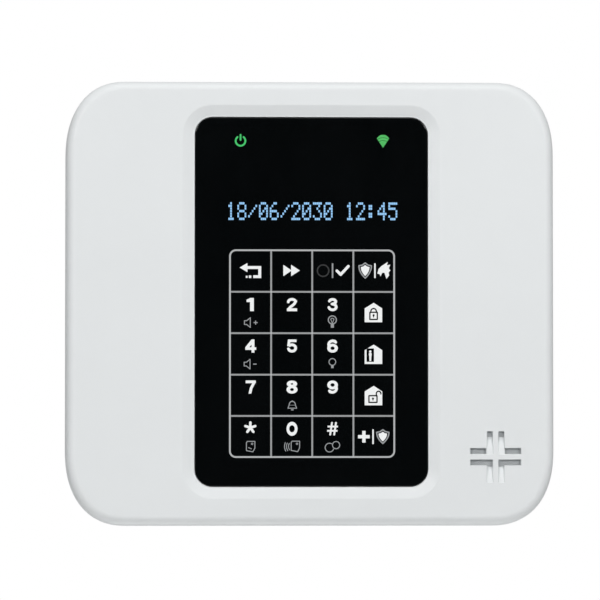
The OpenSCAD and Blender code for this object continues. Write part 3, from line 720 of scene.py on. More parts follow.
# lip along the top, open where the hinges stand
lip = Solid(slab(cover_ring(1.5), YR - 1.5, YR - 0.02))
lip.cut(slab(tray_ring(-2), YR - 3, YR + 3))
lip.cut(boxm(-HW - 5, HW + 5, YR - 5, YR + 5, -HH - 5, 45))
for sx in (-1, 1):
    lip.cut(boxm(sx * 60 - 7.2, sx * 60 + 7.2, YR - 5, YR + 5, 60, 100))
b = bmesh.new()
b.from_mesh(lip.ob.data)
bpy.data.objects.remove(lip.ob)
front.add(b)
for sx in (-1, 1):
    front.add(cyl("x", 2.3, HY, HZ, sx * 60 - 3.2, sx * 60 + 3.2, 48, 0.2))
    front.add(boxm(sx * 60 - 3.2, sx * 60 + 3.2, HY - 2, HY + 2, HZ, HH - 1.2, bev=0.2))
    front.add(boxm(sx * 50 - 5.5, sx * 50 + 5.5, YR - 5.5, YR - 2.2, -HH + 1.2, TB + 6.45, bev=0.25))
    front.add(boxm(sx * 50 - 5.5, sx * 50 + 5.5, YR - 5.5, -12.5, TB + 4.45, TB + 6.45, bev=0.25))
front.add(cyl("y", 1.75, 67, 12, YF + WT - 0.5, -18.2, 48, 0.25))
front.add(loft([(YF + 14, circle_pts(2.6, 48, 67, 12)), (YF + 12.5, circle_pts(3.2, 48, 67, 12)), (YF + WT - 0.5, circle_pts(3.4, 48, 67, 12))]))
KS = [(-49.5, -66), (49.5, -66), (-49.5, 2), (49.5, 2), (-49.5, 68), (49.5, 68)]
for x, z in KS:
    front.add(cyl("y", 2.6, x, z, YF + WT - 0.5, YK, 40))
collar = Solid(cyl("y", SR + 1.7, SX, SZ, YF + WT - 0.5, YF + 7, 72, 0.2)).cut(cyl("y", SR + 0.2, SX, SZ, YF + WT, YF + 8, 72))
b = bmesh.new()
b.from_mesh(collar.ob.data)
bpy.data.objects.remove(collar.ob)
front.add(b)
SS = [(SX - SR - 2.8, SZ + 4), (SX, SZ + SR + 3.5)]
for x, z in SS:
    front.add(cyl("y", 2.3, x, z, YF + WT - 0.5, YF + 12, 40, 0.15))
# gussets on the long walls, inside
for z in (-48, -24, 24, 48):
    for sx in (-1, 1):
        x0 = sx * (HW - WT - 1.4)
        front.add(boxm(min(x0, x0 + sx * 2.2), max(x0, x0 + sx * 2.2), YF + WT - 0.3, YR - 8, z - 0.6, z + 0.6))

# hollow under the window, its seat, and the sloping border with a soft lip
front.cut(slab(ring(GW - 8, GH - 8, 3, 3, 2, 8, GX, GZ), YF - 2, YF + 8))
front.cut(loft([(YL, glass_ring(0.2)), (YG, glass_ring(0.2)), (YG - 0.06, glass_ring(0.23)), (YG - 0.1, glass_ring(0.32)), (YG - 0.115, glass_ring(0.42)), (YG - 0.12, glass_ring(0.62)), (YG - 0.15, glass_ring(0.75)), (YG - 0.2, glass_ring(0.88)),
                (YG - 0.75, glass_ring(2.35)), (YF + 0.2, glass_ring(4.25)), (YF + 0.11, glass_ring(4.5)), (YF + 0.05, glass_ring(4.72)), (YF + 0.012, glass_ring(4.98)), (YF - 0.05, glass_ring(5.5)), (YF - 1.2, glass_ring(5.5))]))

# sound slots: four right angles round a plain cross
GG, SWD, ARM = 2.3, 2.3, 10.2
for q in range(4):
    a = q * math.pi / 2

    def turn(p):
        return (SX + p[0] * math.cos(a) + p[1] * math.sin(a), SZ - p[0] * math.sin(a) + p[1] * math.cos(a))

    def ell(k):
        g = GG / 2
        base = [(g - k, g - k), (ARM + k, g - k), (ARM + k, g + SWD + k), (g + SWD + k, g + SWD + k), (g + SWD + k, ARM + k), (g - k, ARM + k)]
        out = []
        rr = 0.28
        for i in range(6):
            p0, p1, p2 = base[i - 1], base[i], base[(i + 1) % 6]
            d0 = ((p0[0] - p1[0]), (p0[1] - p1[1]))
            d2 = ((p2[0] - p1[0]), (p2[1] - p1[1]))
            l0, l2 = math.hypot(*d0), math.hypot(*d2)
            s0 = (p1[0] + d0[0] / l0 * rr, p1[1] + d0[1] / l0 * rr)
            s2 = (p1[0] + d2[0] / l2 * rr, p1[1] + d2[1] / l2 * rr)
            for t in (0.0, 0.25, 0.5, 0.75, 1.0):
                out.append(((1 - t) ** 2 * s0[0] + 2 * t * (1 - t) * p1[0] + t * t * s2[0], (1 - t) ** 2 * s0[1] + 2 * t * (1 - t) * p1[1] + t * t * s2[1]))
        return [turn(p) for p in out]

    front.cut(loft([(YF + WT + 0.2, ell(0)), (YF + 0.3, ell(0)), (YF + 0.1, ell(0.07)), (YF + 0.0, ell(0.22)), (YF - 0.6, ell(0.82))]))


def prism_x(x0, x1, pts):
    """Prism along X from (z, y) points."""
    bm = bmesh.new()
    a = [bm.verts.new((x0, y, z)) for z, y in pts]
    b = [bm.verts.new((x1, y, z)) for z, y in pts]
    for i in range(len(pts)):
        j = (i + 1) % len(pts)
        bm.faces.new((a[i], a[j], b[j], b[i]))
    bm.faces.new(a[::-1])
    bm.faces.new(b)
    bmesh.ops.recalc_face_normals(bm, faces=bm.faces)
    return bm


# upright arms have ramps in them that rise towards the face at their lower ends
for sx in (-1, 1):
    x0, x1 = sorted((SX + sx * (GG / 2 - 0.25), SX + sx * (GG / 2 + SWD + 0.25)))
    g, deep = GG / 2, YF + WT - 0.1
    front.add(prism_x(x0, x1, [(SZ - 3.9, deep), (SZ - 4.2, YF + 2.0), (SZ - 6.6, YF + 1.15), (SZ - 9.0, YF + 0.46), (SZ - ARM - 0.4, YF + 0.16), (SZ - ARM - 0.4, deep)]))
    front.add(prism_x(x0, x1, [(SZ + ARM - 2.2, deep), (SZ + ARM - 2.5, YF + 2.1), (SZ + 6.0, YF + 1.4), (SZ + 3.6, YF + 0.6), (SZ + g - 0.35, YF + 0.18), (SZ + g - 0.35, deep)]))
for sx in (-1, 1):
    front.cut(cyl("x", 1.08, HY, HZ, sx * 60 - 4, sx * 60 + 4))
    front.cut(cyl("z", 1.9, sx * 50, -16, TB + 4, TB + 7))
    front.cut(boxm(sx * 50 - 1.8, sx * 50 + 1.8, -16, -10, TB + 4, TB + 7))
for x, z in KS:
    front.cut(cyl("y", 0.95, x, z, YK - 2.4, YK + 1, 24))
for x, z in SS:
    front.cut(cyl("y", 0.95, x, z, YF + 5, YF + 13, 24))
ob = obj_from("front_cover", front.bm(), M["white"], "cover", 28, weighted=True, slot="white_plastic")
report_open("front_cover", ob.data)
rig.replaces(ob, "front_housing")

# ----------------------------------------------------------------- rear housing
BS = [(-70, -12), (70, -12), (-70, 68), (70, 68)]
PS = [(69, -64), (69, -27), (21, -66), (21, -27)]
TS = [(-82, -30), (-11, -30)]
rear = Solid(loft([(0, tray_ring(1.0)), (-0.12, tray_ring(0.62)), (-0.42, tray_ring(0.25)), (-0.9, tray_ring(0.06)), (-1.5, tray_ring(0)), (-25.7, tray_ring(0)), (-26, tray_ring(0.25))]))
rear.cut(loft([(-WT, tray_ring(WT + 0.8)), (-WT - 0.6, tray_ring(WT + 0.15)), (-WT - 1.2, tray_ring(WT)), (-27, tray_ring(WT))]))
rear.cut(boxm(-HW, HW, -27, -24, 40, HH))
for sx in (-1, 1):
    rear.add(boxm(sx * 50 - 9, sx * 50 + 9, -26, -8, TB, TB + 9.25, bev=0.2))
    rear.add(cyl("z", 3, sx * 50, -16, TB + 9, TB + 15.25, 48, 0.2))
    for s_ in (-1, 1):
        cx = sx * 60 + s_ * 5
        rear.add(cyl("x", 2.2, HY, HZ, cx - 1.5, cx + 1.5, 48, 0.15))
        rear.add(boxm(cx - 1.5, cx + 1.5, HY - 1.9, HY + 1.9, TT - 5, HZ, bev=0.12))
        rear.add(boxm(cx - 1.5, cx + 1.5, HY - 1.9, -18, TT - 5, TT - 0.4, bev=0.12))
    for sz in (-1, 1):
        rear.add(cyl("y", 5, sx * 82, sz * 50, -4.5, -WT + 0.5, 48, 0.2))
for x, z in BS + PS:
    rear.add(cyl("y", 3, x, z, YM0, -WT + 0.5, 40))
    for k in range(4):
        a = math.pi / 4 + k * math.pi / 2
        c, s_ = math.cos(a), math.sin(a)
        rib = bmesh.new()
        p = [(x + 2.6 * c - 0.45 * s_, z + 2.6 * s_ + 0.45 * c), (x + 2.6 * c + 0.45 * s_, z + 2.6 * s_ - 0.45 * c), (x + 4.6 * c + 0.45 * s_, z + 4.6 * s_ - 0.45 * c), (x + 4.6 * c - 0.45 * s_, z + 4.6 * s_ + 0.45 * c)]
        q = [(x + 2.6 * c - 0.45 * s_, z + 2.6 * s_ + 0.45 * c), (x + 2.6 * c + 0.45 * s_, z + 2.6 * s_ - 0.45 * c), (x + 3.2 * c + 0.45 * s_, z + 3.2 * s_ - 0.45 * c), (x + 3.2 * c - 0.45 * s_, z + 3.2 * s_ + 0.45 * c)]
        rear.add(add_loft(rib, [(-WT + 0.3, p), (YM0 + 0.4, q)]))
rear.add(boxm(-77, -16.4, -10, -WT + 0.5, -71, -69.8))
rear.add(boxm(-16.9, -15.7, -10, -WT + 0.5, -71, -38))
rear.add(boxm(-76.9, -76.1, -10, -WT + 0.5, -71, -56))
for x, z in TS:
    rear.add(cyl("y", 3, x, z, -6, -WT + 0.5, 40))
rear.add(boxm(-1.2, 0, -5, -WT + 0.5, -20, TT - 2.6))
rear.add(boxm(-88, -78, -5, -WT + 0.5, 8, 9.2))
rear.add(boxm(78, 88, -5, -WT + 0.5, 14, 15.2))
rear.add(boxm(-12, 10, -4.5, -WT + 0.5, -68, -38, bev=0.2))
for sx in (-1, 1):
    rear.cut(boxm(sx * 50 - 7, sx * 50 + 7, -27, -10, TB - 1, TB + 7.25))
    rear.cut(cyl("z", 1.55, sx * 50, -16, TB + 7, TB + 16, 32))
    rear.cut(cyl("x", 1.03, HY, HZ, sx * 60 - 7, sx * 60 + 7))
    for sz in (-1, 1):
        rear.cut(cyl("y", 2.25, sx * 82, sz * 50, -6, 1))
        rear.cut(loft([(0.2, circle_pts(2.75, 48, sx * 82, sz * 50)), (-0.35, circle_pts(2.2, 48, sx * 82, sz * 50))]))
for x, z in BS + PS:
    rear.cut(cyl("y", 1.25, x, z, YM0 - 1, -WT - 0.5, 24))
for x, z in TS:
    rear.cut(cyl("y", 1.05, x, z, -7, -WT - 0.2, 24))
rear.cut(loft([(0.3, ring(18.9, 26.9, 1.4, 1.4, 2, 6, -1, -53)), (-0.45, ring(18, 26, 1, 1, 2, 6, -1, -53)), (-6, ring(18, 26, 1, 1, 2, 6, -1, -53))]))
rear.cut(cyl("y", 2.3, 83, 0, -4, 1))
# the back: a shallow plain label recess, knock-out grooves, ejector marks
rear.cut(slab(ring(70, 34, 2.5, 2.5, 2, 8, -18, 38), -0.3, 0.5))
for cx in (-30, 28):
    groove = Solid(slab(ring(16.8, 13, 2.4, 2.4, 2, 6, cx, -54), -0.7, 0.5)).cut(slab(ring(15.4, 11.6, 1.8, 1.8, 2, 6, cx, -54), -1.5, 1.5))
    rear.cut_solid(groove)
for cx, cz in ((-62, 62), (62, 62), (-62, 0), (54, 0), (-62, -62), (62, -62), (0, 68), (34, 30)):
    rear.cut(slab(circle_pts(2.4, 32, cx, cz), -0.12, 0.5))
ob = obj_from("rear_tray", rear.bm(), M["rear"], "root", 28, weighted=True, slot="rear_plastic")
report_open("rear_tray", ob.data)
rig.replaces(ob, "rear_housing")

# ----------------------------------------------------------------- touch window
gl = loft([(YS, glass_ring(-0.15)), (YS - 0.15, glass_ring(0)), (YG + 0.28, glass_ring(0)), (YG + 0.2, glass_ring(-0.02)), (YG + 0.08, glass_ring(-0.09)), (YG + 0.02, glass_ring(-0.2)), (YG, glass_ring(-0.34))])
ob = obj_from("touch_window", gl, M["glass"], "cover", 40, weighted=True, slot="black_glass")
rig.replaces(ob, "touch_glass")

# ---------------------------------------------------------------------- legends
# Each legend is a thin closed solid on the face of the window. Shapes are signed
# distances in millimetres from the middle of the legend, x right and z up.
LY0, LY1 = YG + 0.02, YG - 0.035


def seg(a, b, r):
    def f(x, z):
        ax, az = a
        dx, dz = b[0] - ax, b[1] - az
        t = np.clip(((x - ax) * dx + (z - az) * dz) / max(dx * dx + dz * dz, 1e-9), 0, 1)
        return np.hypot(x - ax - t * dx, z - az - t * dz) - r
    return f


def bar(x0, x1, z0, z1, r=0.0):
    cx, cz, hx, hz = (x0 + x1) / 2, (z0 + z1) / 2, (x1 - x0) / 2 - r, (z1 - z0) / 2 - r

    def f(x, z):
        qx, qz = np.abs(x - cx) - hx, np.abs(z - cz) - hz
        return np.hypot(np.maximum(qx, 0), np.maximum(qz, 0)) + np.minimum(np.maximum(qx, qz), 0) - r
    return f


def disc(cx, cz, r, sx=1.0, sz=1.0):
    return lambda x, z: (np.hypot((x - cx) / sx, (z - cz) / sz) - r) * min(sx, sz)


def poly(pts):
    """Signed distance to a simple polygon."""
    p = np.array(pts, float)

    def f(x, z):
        d = np.full(x.shape, 1e9)
        s = np.ones(x.shape)
        for i in range(len(p)):
            a, b_ = p[i], p[i - 1]
            ex, ez = b_[0] - a[0], b_[1] - a[1]
            wx, wz = x - a[0], z - a[1]
            t = np.clip((wx * ex + wz * ez) / max(ex * ex + ez * ez, 1e-12), 0, 1)
            d = np.minimum(d, np.hypot(wx - ex * t, wz - ez * t))
            c1, c2, c3 = z >= a[1], z < b_[1], ex * wz > ez * wx
            s = np.where((c1 & c2 & c3) | (~c1 & ~c2 & ~c3), -s, s)
        return d * s
    return f


def U(*fs):
    def f(x, z):
        d = fs[0](x, z)
        for g in fs[1:]:
            d = np.minimum(d, g(x, z))
        return d
    return f


def minus(a, *bs):
    def f(x, z):
        d = a(x, z)
        for g in bs:
            d = np.maximum(d, -g(x, z))
        return d
    return f


def both(a, b_):
    return lambda x, z: np.maximum(a(x, z), b_(x, z))


def grow(a, k):
    return lambda x, z: a(x, z) - k


def outline(a, w):
    return lambda x, z: np.abs(a(x, z)) - w / 2


def shift(a, dx, dz, s=1.0):
    return lambda x, z: a((x - dx) / s, (z - dz) / s) * s


def arc(cx, cz, R, a0, a1, r, n=14, sx=1.0, sz=1.0):
    """Stroke along an arc, angles in degrees, anticlockwise from the right."""
    p = [(cx + R * sx * math.cos(math.radians(a0 + (a1 - a0) * i / n)), cz + R * sz * math.sin(math.radians(a0 + (a1 - a0) * i / n))) for i in range(n + 1)]
    return U(*[seg(p[i], p[i + 1], r) for i in range(n)])


def contours(f, x0, x1, z0, z1, step):
    nx, nz = int(math.ceil((x1 - x0) / step)) + 1, int(math.ceil((z1 - z0) / step)) + 1
    xs, zs = x0 + np.arange(nx) * step, z0 + np.arange(nz) * step
    X, Z = np.meshgrid(xs, zs, indexing="ij")
    D = f(X, Z)
    D[np.abs(D) < 1e-6] = 1e-6
    D[0, :] = np.maximum(D[0, :], 1e-3)
    D[-1, :] = np.maximum(D[-1, :], 1e-3)
    D[:, 0] = np.maximum(D[:, 0], 1e-3)
    D[:, -1] = np.maximum(D[:, -1], 1e-3)
    ins = D < 0
    code = ins[:-1, :-1] * 1 + ins[1:, :-1] * 2 + ins[1:, 1:] * 4 + ins[:-1, 1:] * 8
    nxt = {}

    def cut(i, j, k):
        """Crossing on an edge: 0 bottom, 1 right, 2 top, 3 left of cell i, j."""
        if k == 0:
            key, a, b_ = ("h", i, j), (i, j), (i + 1, j)
        elif k == 2:
            key, a, b_ = ("h", i, j + 1), (i, j + 1), (i + 1, j + 1)
        elif k == 1:
            key, a, b_ = ("v", i + 1, j), (i + 1, j), (i + 1, j + 1)
        else:
            key, a, b_ = ("v", i, j), (i, j), (i, j + 1)
        return key, a, b_

    table = {1: [(0, 3)], 2: [(1, 0)], 3: [(1, 3)], 4: [(2, 1)], 5: [(0, 3), (2, 1)], 6: [(2, 0)], 7: [(2, 3)], 8: [(3, 2)], 9: [(0, 2)], 10: [(1, 0), (3, 2)], 11: [(1, 2)], 12: [(3, 1)], 13: [(0, 1)], 14: [(3, 0)]}
    pos = {}
    for i, j in np.argwhere((code > 0) & (code < 15)):
        i, j = int(i), int(j)
        for a, b_ in table[int(code[i, j])]:
            ka, pa, qa = cut(i, j, a)
            kb, pb, qb = cut(i, j, b_)
            for k, p, q in ((ka, pa, qa), (kb, pb, qb)):
                if k not in pos:
                    d0, d1 = D[p], D[q]
                    t = min(max(d0 / (d0 - d1), 0.02), 0.98)
                    pos[k] = (xs[p[0]] + t * (xs[q[0]] - xs[p[0]]), zs[p[1]] + t * (zs[q[1]] - zs[p[1]]))
            nxt[ka] = kb
    loops = []
    while nxt:
        k0, k = next(iter(nxt.items()))
        loop = [k0]
        del nxt[k0]
        while k != k0 and k in nxt:
            loop.append(k)
            k = nxt.pop(k)
        loops.append([pos[q] for q in loop])
    return loops


def simplify(p, tol):
    """Drops points that a straight line already passes within tol of."""
    n = len(p)
    if n < 8:
        return p
    a = 0
    b_ = max(range(n), key=lambda i: (p[i][0] - p[0][0]) ** 2 + (p[i][1] - p[0][1]) ** 2)

    def rec(i, j, out):
        if j - i < 2:
            return
        x0, z0 = q[i]
        x1, z1 = q[j]
        ln = math.hypot(x1 - x0, z1 - z0) or 1e-9
        best, at = 0.0, -1
        for k in range(i + 1, j):
            d = abs((q[k][0] - x0) * (z1 - z0) - (q[k][1] - z0) * (x1 - x0)) / ln
            if d > best:
                best, at = d, k
        if best > tol:
            out.add(at)
            rec(i, at, out)
            rec(at, j, out)

    q = p + [p[0]]
    keep = {a, b_, n}
    rec(a, b_, keep)
    rec(b_, n, keep)
    return [q[i] for i in sorted(keep) if i < n]


def area(p):
    return sum(p[i - 1][0] * p[i][1] - p[i][0] * p[i - 1][1] for i in range(len(p))) / 2


def inside(pt, p):
    c = False
    for i in range(len(p)):
        (x0, z0), (x1, z1) = p[i - 1], p[i]
        if (z0 > pt[1]) != (z1 > pt[1]) and pt[0] < (x1 - x0) * (pt[1] - z0) / (z1 - z0) + x0:
            c = not c
    return c


def stamp(bm, f, cx, cz, half, step=0.07, y0=LY0, y1=LY1, tol=0.008):
    """Adds the shape f, centred at cx, cz, to bm as thin closed solids."""
    hx, hz = half if isinstance(half, tuple) else (half, half)
    loops = [simplify(p, tol) for p in contours(f, -hx, hx, -hz, hz, step)]
    loops = [p for p in loops if len(p) > 2 and abs(area(p)) > 0.01]
    if not loops:
        print("EMPTY LEGEND", cx, cz)
        return
    sign = 1 if max(loops, key=lambda p: abs(area(p))) and area(max(loops, key=lambda p: abs(area(p)))) > 0 else -1
    outer = [p for p in loops if area(p) * sign > 0]
    holes = [p for p in loops if area(p) * sign < 0]
    for o in outer:
        mine = [h for h in holes if inside(h[0], o) and min((abs(area(q)) for q in outer if inside(h[0], q)), default=0) == abs(area(o))]
        group = [o] + mine
        flat = [Vector((p[0], p[1], 0)) for lp in group for p in lp]
        tris = geometry.tessellate_polygon([[Vector((p[0], p[1], 0)) for p in lp] for lp in group])
        fr = [bm.verts.new((cx + p.x, y1, cz + p.y)) for p in flat]
        bk = [bm.verts.new((cx + p.x, y0, cz + p.y)) for p in flat]
        for t in tris:
            if len(set(t)) == 3:
                try:
                    bm.faces.new([fr[i] for i in t])
                    bm.faces.new([bk[i] for i in t][::-1])
                except ValueError:
                    pass
        s0 = 0
        for lp in group:
            k = len(lp)
            for i in range(k):
                j = (i + 1) % k
                bm.faces.new((fr[s0 + i], fr[s0 + j], bk[s0 + j], bk[s0 + i]))
            s0 += k


# key grid: positions of its lines, mm
VX = [-32.26, -15.71, 0.8, 17.35, 33.79]
HZ_ = [21.18, 4.47, -12.16, -28.84, -45.39, -61.87]
LW = 0.68
gx0, gx1, gz0, gz1 = VX[0], VX[-1], HZ_[-1], HZ_[0]
gcx, gcz = (gx0 + gx1) / 2, (gz0 + gz1) / 2


def grid(x, z):
    d = np.full(x.shape, 1e3)
    for v in VX[1:-1]:
        d = np.minimum(d, bar(v - LW / 2, v + LW / 2, gz0 + 0.3, gz1 - 0.3)(x, z))
    for h in HZ_[1:-1]:
        d = np.minimum(d, bar(gx0 + 0.3, gx1 - 0.3, h - LW / 2, h + LW / 2)(x, z))
    return d


def grid_frame(x, z):
    return np.abs(bar(gx0, gx1, gz0, gz1, 2.4)(x, z)) - LW / 2


bm = bmesh.new()
stamp(bm, shift(grid, -gcx, -gcz), gcx, gcz, (34.5, 43.5), 0.1, LY0, LY1 + 0.008)
obj_from("key_grid_lines", bm, M["line"], "cover", 30, slot="black_glass")
bm = bmesh.new()
stamp(bm, shift(grid_frame, -gcx, -gcz), gcx, gcz, (34.5, 43.5), 0.1, LY0, LY1 + 0.004)
for v in VX[1:-1]:
    for h in HZ_[1:-1]:
        add_box(bm, v - LW / 2, v + LW / 2, LY1 + 0.004, LY0, h - LW / 2, h + LW / 2)
obj_from("key_grid_frame", bm, M["frame_line"], "cover", 30, slot="black_glass")

# bold numerals, 4.3 wide and 5.3 tall
S = 0.54
HD, WD = 2.65 - S, 2.1 - S


def numeral(c):
    if c == "1":
        return both(U(bar(-0.25, 1.25, -2.65, 2.65), poly([(-1.65, 1.0), (-1.65, 1.95), (-0.1, 2.65), (0.6, 2.65), (0.3, 1.25), (-0.3, 1.0)])), bar(-1.7, 1.25, -2.65, 2.65))
    if c == "2":
        return U(arc(0, 2.65 - S - 1.05, 1.05, 180, 8, S, sx=1.42), seg((1.5, 1.35), (0.9, 0.25), S), seg((0.9, 0.25), (-0.9, -1.25), S), seg((-0.9, -1.25), (-1.4, -1.95), S), bar(-2.05, 2.05, -2.65, -1.5))
    if c == "3":
        return U(arc(0, 1.2, 0.9, 165, -90, S, sx=1.45), arc(0, -0.95, 1.14, 90, -170, S, sx=1.3), seg((-0.3, 0.25), (0.2, 0.25), S * 0.85))
    if c == "4":
        return U(bar(0.35, 1.5, -2.65, 2.65), bar(-2.15, 2.2, -1.55, -0.5), poly([(-2.15, -0.5), (-2.15, -0.95), (-0.9, -0.95), (0.9, 1.3), (0.9, 2.65), (0.35, 2.65)]))
    if c == "5":
        return U(bar(-1.6, 1.8, 1.6, 2.65), poly([(-1.6, 2.65), (-1.95, -0.05), (-0.85, -0.05), (-0.55, 2.65)]), arc(0, -0.78, 1.3, 128, -165, S, sx=1.14))
    if c == "6":
        return U(outline(disc(0, -0.85, 1.24, 1.2, 1.0), 2 * S), arc(0.15, 0.55, 1.55, 178, 60, S, sx=1.12), seg((-1.5, 0.7), (-1.5, -0.8), S), arc(0.0, 1.0, 1.07, 90, 30, S, sx=1.35))
    if c == "7":
        return U(bar(-2.0, 2.05, 1.55, 2.65), both(U(seg((1.45, 1.95), (0.2, -0.4), S), seg((0.2, -0.4), (-0.3, -2.6), S)), bar(-2, 2.05, -2.65, 2.65)))
    if c == "8":
        return U(outline(disc(0, 1.27, 0.83, 1.55, 1.0), 2 * S * 0.95), outline(disc(0, -1.0, 1.1, 1.36, 1.0), 2 * S * 0.98))
    if c == "9":
        six = numeral("6")
        return lambda x, z: six(-x, -z)
    if c == "0":
        return outline(disc(0, 0, HD, WD / HD * 1.06, 1.0), 2 * S)
    if c == "#":
        return U(seg((-0.95, -2.35), (-0.25, 2.35), 0.36), seg((0.65, -2.35), (1.35, 2.35), 0.36), bar(-2.0, 2.15, 0.5, 1.2), bar(-2.2, 1.95, -1.2, -0.5))
    if c == "*":
        return U(*[seg((0, 0), (2.05 * math.cos(math.radians(90 + 72 * k)), 2.05 * math.sin(math.radians(90 + 72 * k))), 0.5) for k in range(5)])


KEYS = {"1": (-23.93, -0.66), "2": (-7.33, -0.66), "3": (8.98, -0.66), "4": (-23.93, -17.33), "5": (-7.33, -17.33), "6": (8.98, -17.33),
        "7": (-23.93, -33.8), "8": (-7.33, -33.8), "9": (8.98, -33.8), "*": (-24.05, -50.1), "0": (-7.33, -50.55), "#": (8.98, -50.5)}
bm = bmesh.new()
for c, (x, z) in KEYS.items():
    stamp(bm, numeral(c), x, z, 3.2)
obj_from("key_numerals", bm, M["legend"], "cover", 30, slot="black_glass")


def X(px):
    return (px - 310) * 0.4008


def Z(pz):
    return (303.25 - pz) * 0.4008


def rel(cx, cz, pts):
    return [(X(a) - X(cx), Z(b_) - Z(cz)) for a, b_ in pts]


icons, dim, dark, faint = bmesh.new(), bmesh.new(), bmesh.new(), bmesh.new()
# back arrow
cx, cz = 250.0, 270.8
f = U(poly(rel(cx, cz, [(239.2, 267.8), (247, 263.2), (247, 272.4)])), poly(rel(cx, cz, [(246, 266.3), (260.8, 266.3), (260.8, 278.3), (252.8, 278.3), (252.8, 275.5), (257.9, 275.5), (257.9, 269.2), (246, 269.2)])),
      bar(X(248.4) - X(cx), X(250.9) - X(cx), Z(278.3) - Z(cz), Z(275.7) - Z(cz)), bar(X(245.4) - X(cx), X(247.1) - X(cx), Z(278.2) - Z(cz), Z(276) - Z(cz)))
stamp(icons, f, X(cx), Z(cz), 5.0)
# double triangle
cx, cz = 291.2, 270.7
f = U(poly(rel(cx, cz, [(283, 265), (291.4, 270.7), (283, 276.4)])), poly(rel(cx, cz, [(290.8, 265), (299.6, 270.7), (290.8, 276.4)])))
stamp(icons, f, X(cx), Z(cz), 4.2)
# faint ring, bar and check mark
cx, cz = 322.9, 270.8
stamp(faint, outline(disc(0, 0, 2.3), 0.55), X(cx), Z(cz), 3.4)
stamp(dim, bar(-0.3, 0.3, -2.95, 2.95), X(332.4), Z(270.8), (0.9, 3.4))
cx, cz = 342.3, 270.7
stamp(icons, U(seg((-2.2, -0.1), (-0.7, -1.6), 0.55), seg((-0.7, -1.6), (2.4, 1.75), 0.55)), X(cx), Z(cz), 3.6)


def shield(w, h):
    p = [(-w, h * 0.62), (-w * 0.45, h * 0.72), (0, h), (w * 0.45, h * 0.72), (w, h * 0.62)]
    for i in range(1, 9):
        t = i / 8
        p.append((w * (1 - t ** 2.1), h * 0.62 - t * h * 1.62))
    for i in range(7, 0, -1):
        t = i / 8
        p.append((-w * (1 - t ** 2.1), h * 0.62 - t * h * 1.62))
    return poly(p)


for cx, cz, w, h in ((365.2, 270.6, 2.75, 3.3), (382.8, 437.2, 2.7, 3.0)):
    stamp(dim, outline(shield(w - 0.25, h - 0.25), 0.5), X(cx), Z(cz), 4.2)
    stamp(icons, shield(w - 1.0, h - 1.05), X(cx), Z(cz), 4.2)
stamp(icons, bar(-0.3, 0.3, -2.95, 2.95), X(375.0), Z(270.8), (0.9, 3.4))
# flame
cx, cz = 383.8, 270.4
f = poly(rel(cx, cz, [(377.6, 273.6), (378.8, 269.2), (381.4, 266.4), (384.2, 264.6), (387.6, 262.2), (387.0, 265.6), (390.2, 264.8), (388.8, 268.4), (390.4, 270.4),
                      (388.6, 272.6), (389.2, 275.4), (386.6, 278.6), (385.6, 275.6), (384.6, 272.6), (382.2, 272.8), (380.6, 276.2), (379.6, 274.0)]))
stamp(icons, grow(f, 0.06), X(cx), Z(cz), 4.0)
# plus, bar and the second shield
stamp(icons, U(bar(-2.35, 2.35, -0.66, 0.66), bar(-0.66, 0.66, -2.35, 2.35)), X(363.8), Z(437.3), 3.0)
stamp(icons, bar(-0.3, 0.3, -2.95, 2.95), X(373.0), Z(437.3), (0.9, 3.4))

# houses with a padlock, a figure in a doorway and an open padlock
HOUSE = [(-3.65, -3.85), (3.4, -3.85), (3.4, 1.7), (0.0, 3.95), (-3.65, 1.7)]


def lock_lines(open_):
    """Dark lines of a padlock inside a white house."""
    w = 0.27
    if not open_:
        body = outline(bar(-1.55, 1.45, -2.75, 0.15, 0.1), 2 * w)
        return U(body, arc(-0.05, 0.55, 1.1, 0, 180, w), seg((-1.15, 0.55), (-1.15, 0.1), w), seg((1.05, 0.55), (1.05, 0.1), w), disc(-0.05, -1.05, 0.42), seg((-0.05, -1.1), (-0.05, -1.8), 0.2))
    body = outline(bar(-1.95, 1.3, -2.7, 0.0, 0.1), 2 * w)
    return U(body, arc(1.95, 0.85, 0.92, -10, 180, w), seg((1.03, 0.85), (1.03, -0.1), w), disc(-0.32, -1.15, 0.42), seg((-0.32, -1.2), (-0.32, -1.8), 0.2))


house = poly(HOUSE)
for cz, kind in ((312.9, False), (396.2, True)):
    stamp(icons, minus(house, lock_lines(kind)), X(373.75), Z(cz), 4.8, 0.05)
cx, cz = 373.75, 354.8
door = bar(-2.9, 0.1, -3.0, 2.4, 0.1)
person = U(disc(-1.4, 1.15, 0.5), poly([(-2.0, 0.35), (-1.7, 0.62), (-1.1, 0.62), (-0.8, 0.35), (-0.98, -1.0), (-1.05, -2.7), (-1.75, -2.7), (-1.82, -1.0)]))
stamp(icons, U(minus(house, door), person), X(cx), Z(cz), 4.8, 0.05)

# small grey icons under the numerals
o = 0.34


def speaker(dx, dz):
    return outline(poly([(-1.6 + dx, -0.75 + dz), (-0.7 + dx, -0.75 + dz), (0.75 + dx, -1.95 + dz), (0.75 + dx, 1.95 + dz), (-0.7 + dx, 0.75 + dz), (-1.6 + dx, 0.75 + dz)]), o)


cx, cz = 250.5, 323.0
stamp(dim, U(speaker(-1.0, 0), bar(1.1, 2.7, -0.2, 0.2), bar(1.7, 2.1, -0.8, 0.8)), X(cx), Z(cz), 3.6, 0.05)
cx, cz = 250.0, 364.6
stamp(dim, U(speaker(-0.9, 0), bar(1.1, 2.5, -0.2, 0.2)), X(cx), Z(cz), 3.6, 0.05)
